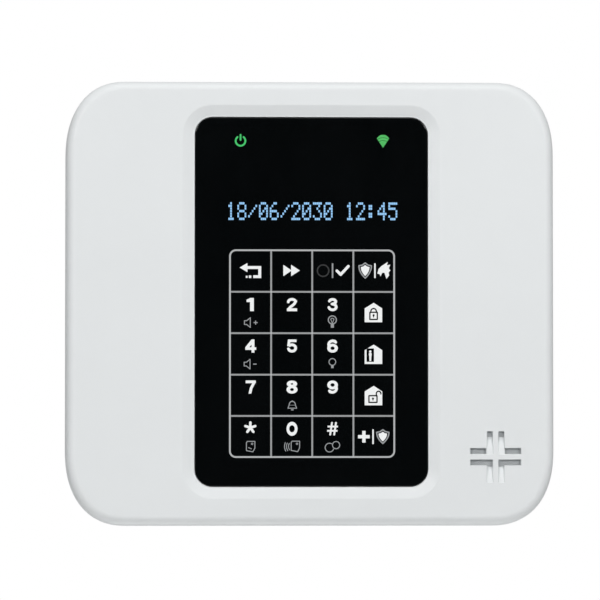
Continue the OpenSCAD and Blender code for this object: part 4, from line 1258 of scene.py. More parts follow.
# bulb, lit, with rays
cx, cz = 332.2, 321.6
stamp(dim, U(outline(disc(0, 0.55, 1.62), 0.42), bar(-0.62, 0.62, -2.6, -1.15, 0.15), arc(0, 0.5, 0.7, 20, 160, 0.16), seg((-0.5, 0.5), (0, -0.9), 0.15), seg((0.5, 0.5), (0, -0.9), 0.15)), X(cx), Z(cz), 3.4, 0.05)
cx, cz = 332.2, 363.6
stamp(dim, U(outline(disc(0, 0.5, 1.35), o), bar(-0.5, 0.5, -2.0, -0.95, 0.1)), X(cx), Z(cz), 3.2, 0.05)
# bell
cx, cz = 292.0, 406.0
bell = U(both(disc(0, 0.2, 1.25, 1, 1.15), bar(-2, 2, 0.0, 3)), poly([(-1.25, 0.2), (1.25, 0.2), (1.75, -1.1), (-1.75, -1.1)]))
stamp(dim, U(outline(bell, o), seg((-0.35, -1.75), (0.35, -1.75), 0.22), disc(0, 1.7, 0.28)), X(cx), Z(cz), 3.2, 0.05)
# tags
tag = poly([(-1.7, -1.6), (0.9, -2.1), (1.7, -0.6), (1.7, 2.1), (-1.3, 2.1), (-1.7, 1.6)])
cx, cz = 250.3, 447.2
stamp(dim, U(outline(tag, o), outline(disc(0.6, 1.1, 0.32), 0.26), seg((-0.9, -0.4), (0.3, -0.9), 0.15)), X(cx), Z(cz), 3.2, 0.05)
cx, cz = 292.0, 447.0
stamp(dim, U(shift(outline(tag, o), 1.25, 0), outline(disc(1.9, 1.05, 0.32), 0.26), arc(0.9, 0, 2.4, 150, 215, 0.16), arc(0.9, 0, 3.2, 155, 212, 0.16), arc(0.9, 0, 4.0, 158, 208, 0.16)), X(cx), Z(cz), 4.4, 0.05)
# two linked discs
cx, cz = 332.3, 447.2
c1, c2 = disc(-1.2, -0.4, 1.75), disc(1.45, 0.6, 1.45)
stamp(dim, U(minus(outline(c1, o), grow(c2, 0.3)), outline(c2, o)), X(cx), Z(cz), 4.0, 0.05)

obj_from("key_icons", icons, M["legend"], "cover", 30, slot="black_glass")
obj_from("key_small_icons", dim, M["legend_dim"], "cover", 30, slot="black_glass")
obj_from("key_faint_ring", faint, M["ring_dim"], "cover", 30, slot="black_glass")

# indicators
bm = bmesh.new()
stamp(bm, U(arc(0, -0.1, 1.95, 128, 412, 0.36, 26), seg((0, 0.3), (0, 2.35), 0.36)), X(240.0), Z(140.3), 3.2, 0.05)
obj_from("power_indicator", bm, M["lamp_power"], "cover", 30, slot="black_glass")
fan = [(0, -2.6)] + [(2.72 * math.sin(math.radians(a)) * 1.3, -2.6 + 4.7 * math.cos(math.radians(a)) * 1.12) for a in range(-45, 46, 5)]
bm = bmesh.new()
gap1, gap2 = outline(disc(0, -2.6, 2.9), 0.16), outline(disc(0, -2.6, 4.05), 0.16)
stamp(bm, minus(both(poly(fan), disc(0, -2.6, 5.2)), gap1, gap2), X(383.2), Z(140.6), 3.6, 0.05)
obj_from("signal_indicator", bm, M["lamp_green"], "cover", 30, slot="black_glass")

# one line of sixteen dot-matrix cells, showing digits only
FONT = {"0": "01110 10001 10011 10101 11001 10001 01110", "1": "00100 01100 00100 00100 00100 00100 01110", "2": "01110 10001 00001 00010 00100 01000 11111",
        "3": "11111 00010 00100 00010 00001 10001 01110", "4": "00010 00110 01010 10010 11111 00010 00010", "5": "11111 10000 11110 00001 00001 10001 01110",
        "6": "00110 01000 10000 11110 10001 10001 01110", "7": "11111 00001 00010 00100 01000 01000 01000", "8": "01110 10001 10001 01110 10001 10001 01110",
        "9": "01110 10001 10001 01111 00001 00010 01100", "/": "00000 00001 00010 00100 01000 10000 00000", ":": "00000 01100 01100 00000 01100 01100 00000", " ": "00000 00000 00000 00000 00000 00000 00000"}
bm = bmesh.new()
px0, cellw = X(226.0), (X(397.5) - X(226.0)) / 15.83
pitch, rowp = cellw / 6.0, 7.3 / 7
for k, ch in enumerate("18/06/2030 12:45"):
    for r_, bits in enumerate(FONT[ch].split()):
        for c_, bit in enumerate(bits):
            if bit == "1":
                x = px0 + k * cellw + (c_ + 0.5) * pitch
                z = Z(202.0) - (r_ + 0.5) * rowp
                add_box(bm, x - pitch * 0.44, x + pitch * 0.44, LY1 + 0.005, LY0, z - rowp * 0.43, z + rowp * 0.43)
obj_from("display_characters", bm, M["dots"], "cover", 30, slot="black_glass")

# --------------------------------------------------- materials on the CAD nodes
LOOK = {
    "hinge_pins": "steel", "cover_lock_screws": "screw", "main_board": "pcb", "main_board_chips": "chip", "board_capacitors": "cap", "main_board_screws": "screw",
    "radio_module": "tin", "cellular_module": "tin", "antenna": "gold", "sim_socket": "black", "sim_lid": "tin", "sim_card": "ivory", "network_jack": "black",
    "ribbon_socket": "ivory", "ribbon_cable": "film", "cover_tamper_switch": "black", "tamper_lever": "steel", "tamper_lever_pin": "steel",
    "wall_tamper_switch": "black", "wall_tamper_plunger": "red", "wall_tamper_spring": "steel", "battery_pack": "cell", "battery_strap": "steel",
    "battery_strap_screws": "screw", "battery_plug": "ivory", "battery_lead": "wire", "supply_board": "pcb2", "supply_board_screws": "screw",
    "supply_transformer": "tape", "supply_capacitor": "cap", "power_terminal_block": "green", "terminal_screws": "screw", "supply_lead": "wire",
    "glass_adhesive": "foam", "touch_sensor": "film", "keypad_light_guide": "guide", "key_backlight_leds": "lamp", "keypad_board": "pcb3",
    "keypad_board_screws": "screw", "keypad_chips": "chip", "keypad_ribbon_socket": "ivory", "display_glass": "glass", "display_frame": "tin",
    "indicator_light_guides": "guide", "tag_reader_coil": "copper", "speaker_mesh": "cloth", "speaker_gasket": "foam", "speaker_frame": "black",
    "speaker_cone": "paper", "speaker_magnet": "ferrite", "speaker_bracket": "steel", "speaker_screws": "screw", "speaker_lead": "wire",
    "front_housing": "white", "rear_housing": "rear", "touch_glass": "glass",
}
for n, o_ in frame["nodes"].items():
    k = LOOK[n]
    if not o_.material_slots:
        o_.data.materials.append(M[k])
    for sl in o_.material_slots:
        sl.material = M[k]

# ------------------------------------------------ the pieces inside, in detail


def part_box(n):
    lo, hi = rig.box(n)
    return [v / MM for v in lo], [v / MM for v in hi]


def soften(n, width=0.12, seg=2, mat=None, angle=38, name=None, extra=None, bev_angle=30):
    """The CAD node's own shape with its edges rounded off, as moulding or stamping leaves them."""
    src = frame["nodes"][n].data
    bm = bmesh.new()
    bm.from_mesh(src)
    bm.transform(Matrix.Scale(1 / MM, 4))
    bmesh.ops.remove_doubles(bm, verts=bm.verts, dist=2e-3)
    bmesh.ops.dissolve_degenerate(bm, edges=bm.edges, dist=1e-3)
    bmesh.ops.dissolve_limit(bm, angle_limit=math.radians(0.8), verts=bm.verts, edges=bm.edges)
    ok = all(e.is_manifold for e in bm.edges)
    if width and ok:
        keep = bm.copy()
        edges = [e for e in bm.edges if len(e.link_faces) == 2 and e.calc_face_angle(0) > math.radians(bev_angle)]
        vol = bm.calc_volume(signed=False)
        bmesh.ops.bevel(bm, geom=edges, offset=width, offset_type="OFFSET", segments=seg, profile=0.5, affect="EDGES", clamp_overlap=True)
        if not all(e.is_manifold for e in bm.edges) or abs(bm.calc_volume(signed=False) - vol) > 0.12 * vol:
            print("SOFTEN KEPT PLAIN", n)
            bm.free()
            bm = keep
        else:
            keep.free()
    if extra:
        for f in extra:
            f(bm)
    ob = obj_from(name or n + "_piece", bm, M[mat or LOOK[n]], frame["nodes"][n]["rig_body"], angle)
    report_open(ob.name, ob.data)
    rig.replaces(ob, n)
    return ob


def jbox(*a, **k):
    return lambda bm: add_box(bm, *a, **k)


for n, w in (("hinge_pins", 0.15), ("main_board", 0.06), ("sim_socket", 0.1), ("sim_lid", 0.06), ("sim_card", 0.08), ("ribbon_socket", 0.12), ("keypad_ribbon_socket", 0.12),
             ("cover_tamper_switch", 0.18), ("tamper_lever", 0.06), ("tamper_lever_pin", 0.06), ("wall_tamper_plunger", 0.2), ("battery_strap", 0.25),
             ("battery_plug", 0.2), ("supply_board", 0.06), ("power_terminal_block", 0.2), ("glass_adhesive", 0.05), ("touch_sensor", 0.04),
             ("keypad_light_guide", 0.15), ("key_backlight_leds", 0.1), ("keypad_board", 0.06), ("display_glass", 0.12), ("display_frame", 0.15), ("indicator_light_guides", 0.15),
             ("tag_reader_coil", 0.15), ("speaker_mesh", 0.05), ("speaker_gasket", 0.15), ("speaker_frame", 0.15), ("speaker_magnet", 0.3), ("speaker_bracket", 0.12),
             ("terminal_screws", 0.08), ("cover_lock_screws", 0.14), ("main_board_screws", 0.12), ("supply_board_screws", 0.12), ("battery_strap_screws", 0.1),
             ("keypad_board_screws", 0.1), ("speaker_screws", 0.1), ("network_jack", 0.12)):
    soften(n, w)


def gull(bm, x, z, dx, dz, y, drop):
    """One bent leg from a chip's side to the board: x, z on the side, dx, dz pointing outwards."""
    w = 0.17
    tx, tz = -dz * w, dx * w
    prof = [(-0.15, y - drop * 0.55), (0.28, y - drop * 0.55), (0.5, y - 0.1), (0.95, y - 0.1)]
    th_ = 0.14
    rows = []
    for d, yy in prof:
        row = []
        for s_, o_ in ((-1, 0), (1, 0), (1, th_), (-1, th_)):
            row.append(bm.verts.new((x + dx * d + s_ * tx, yy - o_ if d < 0.4 else yy + (0 if o_ == 0 else -th_), z + dz * d + s_ * tz)))
        rows.append(row)
    for a, b_ in zip(rows, rows[1:]):
        for i in range(4):
            j = (i + 1) % 4
            bm.faces.new((a[i], a[j], b_[j], b_[i]))
    bm.faces.new(rows[0][::-1])
    bm.faces.new(rows[-1])


def chips(n, at, legs_name, sgn):
    """Chip bodies with a sloping waist, and rows of bent legs as one further piece."""
    bm, lg = bmesh.new(), bmesh.new()
    for x0, x1, z0, z1, y, h, sides in at:
        t = 0.14
        s_ = sgn
        add_loft(bm, [(y + s_ * 0.06, ring(x1 - x0 - 2 * t, z1 - z0 - 2 * t, 0.2, 0.2, 2, 2, (x0 + x1) / 2, (z0 + z1) / 2)),
                      (y + s_ * h * 0.5, ring(x1 - x0, z1 - z0, 0.2, 0.2, 2, 2, (x0 + x1) / 2, (z0 + z1) / 2)),
                      (y + s_ * h * 0.62, ring(x1 - x0, z1 - z0, 0.2, 0.2, 2, 2, (x0 + x1) / 2, (z0 + z1) / 2)),
                      (y + s_ * h * 0.96, ring(x1 - x0 - 2 * t, z1 - z0 - 2 * t, 0.2, 0.2, 2, 2, (x0 + x1) / 2, (z0 + z1) / 2)),
                      (y + s_ * h, ring(x1 - x0 - 2 * t - 0.1, z1 - z0 - 2 * t - 0.1, 0.2, 0.2, 2, 2, (x0 + x1) / 2, (z0 + z1) / 2))])
        step = 0.8
        runs = []
        if "x" in sides:
            k = int((z1 - z0 - 1.2) / step)
            for i in range(k + 1):
                z = (z0 + z1) / 2 + (i - k / 2) * step
                runs += [(x0, z, -1, 0), (x1, z, 1, 0)]
        if "z" in sides:
            k = int((x1 - x0 - 1.2) / step)
            for i in range(k + 1):
                x = (x0 + x1) / 2 + (i - k / 2) * step
                runs += [(x, z0, 0, -1), (x, z1, 0, 1)]
        for x, z, dx, dz in runs:
            if sgn < 0:
                gull(lg, x, z, dx, dz, y, h)
            else:
                sub = bmesh.new()
                gull(sub, x, z, dx, dz, 0, h)
                for v in sub.verts:
                    v.co.y = y - v.co.y
                me_ = bpy.data.meshes.new("t")
                sub.to_mesh(me_)
                sub.free()
                lg.from_mesh(me_)
                bpy.data.meshes.remove(me_)
    body = frame["nodes"][n]["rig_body"]
    ob_ = obj_from(n + "_piece", bm, M["chip"], body, 28)
    report_open(ob_.name, ob_.data)
    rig.replaces(ob_, n)
    ob_ = obj_from(legs_name, lg, M["tin"], body, 28)
    report_open(ob_.name, ob_.data)


chips("main_board_chips", [(-47.2, -34.8, 6.8, 19.2, YM, 1.6, "xz"), (-26, -16, 10.6, 15.4, YM, 1.1, "z"), (-65.4, -60.6, 14, 24, YM, 1.4, "x"), (10.8, 17.2, 12, 22, YM, 1.3, "x"),
                           (46, 54, -9.2, -3.8, YM, 2.2, "z"), (-34, -29, -5.6, -1.4, YM, 1.2, "z"), (24.6, 28.4, 24, 28, YM, 1.0, "x")], "main_board_chip_legs", -1)
chips("keypad_chips", [(-11.4, -2.6, -25.4, -16.6, YB, 1.4, "xz"), (-34, -26, 23.6, 28.4, YB, 1.2, "z"), (10.6, 16.4, -40, -33, YB, 1.2, "x"), (-38, -33, -58.6, -53.4, YB, 1.0, "z")], "keypad_chip_legs", 1)

# chip resistors and capacitors in tidy groups, with solder ends
rnd = random.Random(11)


def passives(name, body, spots, y, sgn):
    a, b_ = bmesh.new(), bmesh.new()
    for x, z, up_ in spots:
        w, l, h = (0.6, 1.1, 0.45) if not up_ else (1.1, 0.6, 0.45)
        y0_, y1_ = sorted((y, y + sgn * h))
        add_box(a, x - w, x + w, y0_, y1_, z - l * 0.55, z + l * 0.55, bev=0.06, seg=1)
        for e in (-1, 1):
            if up_:
                add_box(b_, x + e * w - 0.2, x + e * w + 0.2, y0_, y1_ + 0.02 * sgn, z - l * 0.58, z + l * 0.58, bev=0.06, seg=1)
            else:
                add_box(b_, x - w * 1.04, x + w * 1.04, y0_, y1_ + 0.02 * sgn, z + e * l * 0.6 - 0.2, z + e * l * 0.6 + 0.2, bev=0.06, seg=1)
    obj_from(name + "_bodies", a, M["chip"], body, 30)
    obj_from(name + "_ends", b_, M["tin"], body, 30)


spots = []
for gx_, gz_, cols, rows in ((-57, 24, 5, 3), (-28, -14, 6, 2), (-10, 10, 3, 3), (58, -8, 3, 4), (22, -13, 6, 2), (-72, 36, 1, 7), (12, 30, 2, 6), (64, 40, 2, 8), (-52, 4, 2, 2)):
    for i in range(cols):
        for j in range(rows):
            if rnd.random() < 0.82:
                spots.append((gx_ + i * 2.7, gz_ + j * 2.9, rnd.random() < 0.3))
passives("main_board_passives", "root", spots, YM, -1)
spots = []
for gx_, gz_, cols, rows in ((-20, 24, 5, 2), (2, -26, 4, 3), (20, -34, 3, 2), (-30, -62, 6, 2), (8, 50, 3, 2)):
    for i in range(cols):
        for j in range(rows):
            if rnd.random() < 0.82:
                spots.append((gx_ + i * 2.7, gz_ + j * 2.9, rnd.random() < 0.3))
passives("keypad_passives", "cover", spots, YB, 1)


def can_capacitor(bm, x, z, r, y, h):
    """Aluminium can: beaded foot, rolled rim and a pressed vent in its top."""
    add_lathe_y(bm, x, z, [(0, y - 0.02), (r * 0.94, y - 0.02), (r, y - 0.35), (r, y - 1.1), (r * 0.93, y - 1.5), (r, y - 1.9), (r, y - h + 0.6), (r * 0.985, y - h + 0.25), (r * 0.93, y - h + 0.02),
                           (r * 0.86, y - h), (r * 0.82, y - h + 0.14), (0, y - h + 0.14)], 40)


for n, spots_ in (("board_capacitors", [(32, 16, 4), (42, 16, 4), (32, 2, 4), (-52, -6, 4)]), ("supply_capacitor", [(67, -46, 5)])):
    bm = bmesh.new()
    tops = bmesh.new()
    for x, z, r in spots_:
        h = 10 if r == 4 else 12
        can_capacitor(bm, x, z, r, YM, h)
        add_lathe_y(tops, x, z, [(0, YM - h + 0.2), (r * 0.8, YM - h + 0.2), (r * 0.8, YM - h + 0.08), (0, YM - h + 0.08)], 40)
        for a in (0, 60, 120):
            c, s_ = math.cos(math.radians(a)) * r * 0.55, math.sin(math.radians(a)) * r * 0.55
            p = [(x - c - 0.08 * s_, z - s_ + 0.08 * c), (x - c + 0.08 * s_, z - s_ - 0.08 * c), (x + c + 0.08 * s_, z + s_ - 0.08 * c), (x + c - 0.08 * s_, z + s_ + 0.08 * c)]
            add_loft(tops, [(YM - h + 0.1, p), (YM - h + 0.03, p)])
    ob = obj_from(n + "_piece", bm, M["cap"], "root", 35)
    report_open(ob.name, ob.data)
    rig.replaces(ob, n)
    obj_from(n + "_tops", tops, M["tin"], "root", 35)

# shielded radio modules: castellated board, folded can with dimples
for n, bx, can in (("radio_module", (-68, -34, 34, 60, 1.0), (-66.5, -42, 35.5, 58.5, 3.6)), ("cellular_module", (-26, 8, 24, 58, 1.2), (-24.5, 6.5, 25.5, 52, 3.4))):
    x0, x1, z0, z1, h = bx
    bd = Solid(boxm(x0, x1, YM - h, YM, z0, z1, bev=0.08))
    for i in range(int((z1 - z0 - 3) / 1.6) + 1):
        z = z0 + 1.6 + i * 1.6
        bd.cut(cyl("y", 0.35, x0, z, YM - 3, YM + 1, 12), cyl("y", 0.35, x1, z, YM - 3, YM + 1, 12))
    ob = obj_from(n + "_board", bd.bm(), M["pcb3"], "root", 30)
    report_open(ob.name, ob.data)
    x0, x1, z0, z1, h = can
    cn = bmesh.new()
    add_loft(cn, [(YM - 0.9, ring(x1 - x0, z1 - z0, 0.8, 0.8, 2, 6, (x0 + x1) / 2, (z0 + z1) / 2)), (YM - h + 0.45, ring(x1 - x0, z1 - z0, 0.8, 0.8, 2, 6, (x0 + x1) / 2, (z0 + z1) / 2)),
                  (YM - h + 0.12, ring(x1 - x0 - 0.25, z1 - z0 - 0.25, 0.75, 0.75, 2, 6, (x0 + x1) / 2, (z0 + z1) / 2)), (YM - h, ring(x1 - x0 - 0.9, z1 - z0 - 0.9, 0.6, 0.6, 2, 6, (x0 + x1) / 2, (z0 + z1) / 2))])
    cs = Solid(cn)
    for i in range(4):
        for j in range(3):
            cs.cut(cyl("y", 0.45, x0 + (x1 - x0) * (i + 1) / 5, z0 + (z1 - z0) * (j + 1) / 4, YM - h - 1, YM - h + 0.25, 16))
    ob2 = obj_from(n + "_can", cs.bm(), M["tin"], "root", 30)
    report_open(ob2.name, ob2.data)
    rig.replaces(ob2, n)
bm = bmesh.new()
add_lathe_y(bm, -20, 55, [(0, YM - 1.0), (1.6, YM - 1.0), (1.6, YM - 1.5), (1.25, YM - 1.6), (1.25, YM - 2.5), (1.05, YM - 2.6), (0.75, YM - 2.6), (0.7, YM - 1.9), (0.3, YM - 1.9), (0.28, YM - 2.5), (0, YM - 2.5)], 32)
obj_from("cellular_module_coax", bm, M["gold"], "root", 35)

# printed antenna: a bent strip with a folded slot
an = Solid(boxm(-62, -14, YM - 7, YM - 6.5, 62, 70, bev=0.08))
for i in range(5):
    an.cut(boxm(-56 + i * 8, -55 + i * 8, YM - 8, YM - 6, 64 if i % 2 else 61, 71 if i % 2 else 68))
an.add(boxm(-62, -61.5, YM - 6.9, YM, 64, 68), boxm(-40, -39.5, YM - 6.9, YM, 65, 67))
ob = obj_from("antenna_piece", an.bm(), M["gold"], "root", 30)
report_open(ob.name, ob.data)
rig.replaces(ob, "antenna")

# transformer: core halves and taped winding
bm = bmesh.new()
add_loft(bm, [(YM - 0.1, ring(18, 22, 1.5, 1.5, 2, 6, 48, -45)), (YM - 0.4, ring(18.6, 22.6, 1.8, 1.8, 2, 6, 48, -45)), (YM - 13.0, ring(18.6, 22.6, 1.8, 1.8, 2, 6, 48, -45)), (YM - 13.4, ring(17.8, 21.8, 1.6, 1.6, 2, 6, 48, -45))])
ob = obj_from("supply_transformer_winding", bm, M["tape"], "root", 30)
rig.replaces(ob, "supply_transformer")
bm = bmesh.new()
for x0, x1 in ((36, 39.6), (56.4, 60)):
    add_box(bm, x0, x1, YM - 12, YM - 0.6, -58, -32, bev=0.35)
add_box(bm, 38, 58, YM - 12, YM - 0.6, -58, -54.8, bev=0.35)
add_box(bm, 38, 58, YM - 12, YM - 0.6, -35.2, -32, bev=0.35)
obj_from("supply_transformer_core", bm, M["ferrite"], "root", 30)

# battery: shrink-wrapped cells, each with a rolled shoulder and a plus cap
bm = bmesh.new()
caps = bmesh.new()
for i in range(4):
    cx = -68.25 + i * 14.3
    rows = []
    for r, z in ((5.6, -69.5), (6.9, -69.35), (7.15, -68.9), (7.13, -66.5), (7.13, -22.6), (7.15, -20.4), (6.9, -19.75), (5.6, -19.55)):
        rows.append([bm.verts.new((cx + r * math.cos(2 * math.pi * k / 48), -10.25 + r * math.sin(2 * math.pi * k / 48), z)) for k in range(48)])
    for a, b_ in zip(rows, rows[1:]):
        for k in range(48):
            bm.faces.new((a[k], a[(k + 1) % 48], b_[(k + 1) % 48], b_[k]))
    bm.faces.new(rows[0][::-1])
    bm.faces.new(rows[-1])
    sub = cyl("z", 2.6, cx, -10.25, -19.7, -19.05, 32, 0.15)
    me_ = bpy.data.meshes.new("t")
    sub.to_mesh(me_)
    sub.free()
    caps.from_mesh(me_)
    bpy.data.meshes.remove(me_)
ob = obj_from("battery_pack_cells", bm, M["cell"], "root", 30)
report_open(ob.name, ob.data)
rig.replaces(ob, "battery_pack")
obj_from("battery_pack_caps", caps, M["tin"], "root", 35)

# leads: smooth insulated wires along the CAD routes


def bez(a, b_, c, d, t):
    return a * (1 - t) ** 3 + b_ * 3 * t * (1 - t) ** 2 + c * 3 * t * t * (1 - t) + d * t ** 3


def wire(bm, pts, r, n=14, twist=None):
    pts = [Vector(p) for p in pts]
    k = len(pts)
    nrm = None
    rows = []
    for i, p in enumerate(pts):
        t = (pts[min(i + 1, k - 1)] - pts[max(i - 1, 0)]).normalized()
        if nrm is None:
            nrm = t.orthogonal().normalized()
        nrm = (nrm - t * nrm.dot(t)).normalized()
        bn = t.cross(nrm)
        rows.append([bm.verts.new(p + r * (math.cos(2 * math.pi * j / n) * nrm + math.sin(2 * math.pi * j / n) * bn)) for j in range(n)])
    for a, b_ in zip(rows, rows[1:]):
        for j in range(n):
            bm.faces.new((a[j], a[(j + 1) % n], b_[(j + 1) % n], b_[j]))
    bm.faces.new(rows[0][::-1])
    bm.faces.new(rows[-1])


M["wire_black"] = plastic("black_wire_sleeve", lin(18, 18, 20), lin(30, 30, 32), (0.3, 0.42), 3600.0, 0.00001, 300.0)
for n, body, route, r in (
        ("battery_lead", "root", lambda s_: [bez(Vector((-64 + s_ * 3.4, -12.4, -19.0)), Vector((-64 + s_ * 3.4, -12.4, -17.4)), Vector((-63.2 + s_ * 3.4, YM - 3, -15.6)), Vector((-63.2 + s_ * 3.4, YM - 3, -13.87)), i / 24) for i in range(25)], 0.75),
        ("supply_lead", "root", lambda s_: [bez(Vector((30 + 2.4 * s_, YM - 0.2, -25)), Vector((30 + 2.4 * s_, YM - 5, -25)), Vector((30 + 2.4 * s_, YM - 5, -12)), Vector((30 + 2.4 * s_, YM - 0.2, -12)), i / 24) for i in range(25)], 0.75),
        ("speaker_lead", "cover", lambda s_: [Vector((0, 0, 1.5 * s_)) + bez(Vector((SX - 11.3, YF + 8.2, SZ - 3)), Vector((SX - 16, YF + 8.6, SZ - 3)), Vector((54, YB + 3.4, SZ - 2)), Vector((46, YB + 0.7, SZ)), i / 24) for i in range(25)], 0.55)):
    for s_, mt in ((0, "wire_black"), (1, "wire")):
        bm = bmesh.new()
        wire(bm, route(s_), r)
        ob = obj_from(n + ("_black" if s_ == 0 else "_red"), bm, M[mt], body, 60, slot="red_plastic" if s_ else "black_plastic")
        report_open(ob.name, ob.data)
        if s_:
            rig.replaces(ob, n)

# sounder cone: rolled surround, cone and dust cap, turned as one closed skin
prof = [(0, -1.75)]
for i in range(1, 7):
    prof.append((2.2 * i / 6, -1.75 - 0.55 * (1 - math.cos(i / 6 * math.pi / 2))))
prof += [(2.3, -2.4), (2.3, -3.95), (2.45, -3.95), (2.47, -2.5)]
back = [(4.7, -2.4), (SR - 4.8, -0.02), (SR - 4.2, 0.16), (SR - 3.7, 0.2), (SR - 3.2, 0.1), (SR - 2.75, 0.0)]
front_ = [(SR - 2.75, 0.3), (SR - 3.2, 0.42), (SR - 3.7, 0.5), (SR - 4.2, 0.46), (SR - 4.8, 0.33), (4.6, -2.1), (2.6, -2.2), (2.3, -1.9), (1.6, -1.35), (0.8, -1.1), (0, -1.02)]
bm = bmesh.new()
add_lathe_y(bm, SX, SZ, [(r, YSP + 0.6 - h) for r, h in [(0, -2.25)] + [(2.2, -2.5), (2.25, -3.95), (2.45, -3.95), (2.47, -2.5)] + back + front_], 64)
ob = obj_from("speaker_cone_piece", bm, M["paper"], "cover", 40)
report_open(ob.name, ob.data)
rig.replaces(ob, "speaker_cone")

# ribbon cable: twenty cores side by side, in one loop that bends with the cover
y0_, y1_ = YM - 2, YB + 2
rc, rr_ = (y0_ + y1_) / 2, (y0_ - y1_) / 2
mid = [(y0_, 62.8), (y0_, 60), (y0_, 56), (y0_, 54)] + [(rc + rr_ * math.cos(math.radians(5 * i)), 52 - rr_ * math.sin(math.radians(5 * i))) for i in range(37)] + [(y1_, 54), (y1_, 56), (y1_, 60), (y1_, 62.8)]
cores, per = 20, 6
top_, bot_ = [], []
for c_ in range(cores):
    for q in range(per):
        u = (q + 0.5) / per
        h = 0.1 + 0.1 * math.sin(math.pi * u)
        top_.append((18 + (c_ + u) * 16 / cores, h))
        bot_.append((18 + (c_ + u) * 16 / cores, -h))
sec = top_ + bot_[::-1]
bm = bmesh.new()
rows = []
for i, (y, z) in enumerate(mid):
    a, b_ = mid[max(i - 1, 0)], mid[min(i + 1, len(mid) - 1)]
    ty, tz = b_[0] - a[0], b_[1] - a[1]
    ln = math.hypot(ty, tz)
    ny, nz = -tz / ln, ty / ln
    rows.append([bm.verts.new((x, y + ny * h, z + nz * h)) for x, h in sec])
k = len(sec)
for a, b_ in zip(rows, rows[1:]):
    for j in range(k):
        bm.faces.new((a[j], a[(j + 1) % k], b_[(j + 1) % k], b_[j]))
bm.faces.new(rows[0][::-1])
bm.faces.new(rows[-1])
m, nt, s, obj = tree("ribbon_sleeve")
sep = nt.nodes.new("ShaderNodeSeparateXYZ")
link(nt, obj, sep.inputs[0])
edge_core = math_node(nt, "LESS_THAN", sep.outputs["X"], 0.0188)
haze = noise(nt, obj, 120.0, 3.0)
link(nt, mix(nt, edge_core, ramp(nt, haze, [(0.3, lin(168, 168, 166)), (0.7, lin(182, 182, 180))]), lin(176, 40, 34)), s.inputs["Base Color"])
link(nt, ramp(nt, haze, [(0.3, 0.38), (0.7, 0.5)]), s.inputs["Roughness"])
bump(nt, s, noise(nt, obj, 2400.0), 0.00001)
M["ribbon"] = m
ob = obj_from("ribbon_cable_piece", bm, m, None, 50, slot="ivory_plastic")
report_open(ob.name, ob.data)
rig.blend(ob, "root", "cover", start=(0.026, (y0_ - 0.6) * MM, 0.04), end=(0.026, (y1_ + 0.6) * MM, 0.04))
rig.replaces(ob, "ribbon_cable")

# plunger spring: round wire with closed ends
bm = bmesh.new()
pts = []
for i in range(181):
    t = i / 180
    turns = 5.0
    h = t if 0.12 < t < 0.88 else (t * 0.55 if t <= 0.12 else 1 - (1 - t) * 0.55)
    h = min(max((t - 0.1) / 0.8, 0), 1) * 0.9 + t * 0.1
    pts.append((83 + 2.6 * math.cos(2 * math.pi * turns * t), -10.6 + 4.9 * h, 2.6 * math.sin(2 * math.pi * turns * t)))
wire(bm, pts, 0.21, 10)
ob = obj_from("wall_tamper_spring_piece", bm, M["steel"], None, 60, slot="steel")
report_open(ob.name, ob.data)
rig.blend(ob, "root", "wall_tamper_button", start=(0.083, -0.0106, 0), end=(0.083, -0.0058, 0))
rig.replaces(ob, "wall_tamper_spring")


# network jack: folded shield with spring windows, and eight contacts in the mouth
sh = Solid(boxm(-12.3, 4.3, YM - 13.7, YM - 0.7, -15.7, 0.3, bev=0.22))
sh.cut(boxm(-12.03, 4.03, YM - 13.43, YM + 1, -17, 0.03))
for x0 in (-10.2, -1.0):
    sh.cut(boxm(x0, x0 + 3.2, YM - 14.5, YM - 13, -12.5, -5.0))
sh.cut(boxm(-13, -11.9, YM - 9.5, YM - 6.5, -12.5, -5.0), boxm(3.9, 5, YM - 9.5, YM - 6.5, -12.5, -5.0))
for x0 in (-9.5, -0.3):
    sh.add(boxm(x0, x0 + 1.8, YM - 13.66, YM - 13.44, -11.6, -4.9))
sh.add(boxm(-12.26, -12.04, YM - 8.9, YM - 7.1, -11.6, -4.9), boxm(4.04, 4.26, YM - 8.9, YM - 7.1, -11.6, -4.9))
ob = obj_from("network_jack_shield", sh.bm(), M["tin"], "root", 32)
report_open(ob.name, ob.data)
bm = bmesh.new()
for i in range(8):
    x = -4 + (i - 3.5) * 1.02
    wire(bm, [(x, YM - 3.62, -14.6), (x, YM - 3.7, -13.2), (x, YM - 4.6, -9.5), (x, YM - 6.3, -5.6), (x, YM - 6.7, -4.2), (x, YM - 6.6, -3.2)], 0.17, 8)
obj_from("network_jack_contacts", bm, M["gold"], "root", 50)

# card socket contacts
bm = bmesh.new()
for i in range(2):
    for j in range(3):
        x, z = 47.0 + i * 5.6, 36.2 + j * 5.2
        add_loft(bm, [(YM - 0.55, ring(2.0, 3.4, 0.3, 0.3, 2, 3, x + 1.2, z + 1.4)), (YM - 0.85, ring(1.9, 3.3, 0.3, 0.3, 2, 3, x + 1.2, z + 1.4)), (YM - 1.35, ring(0.9, 1.3, 0.25, 0.25, 2, 3, x + 1.2, z + 2.0))])
obj_from("sim_socket_contacts", bm, M["gold"], "root", 40)

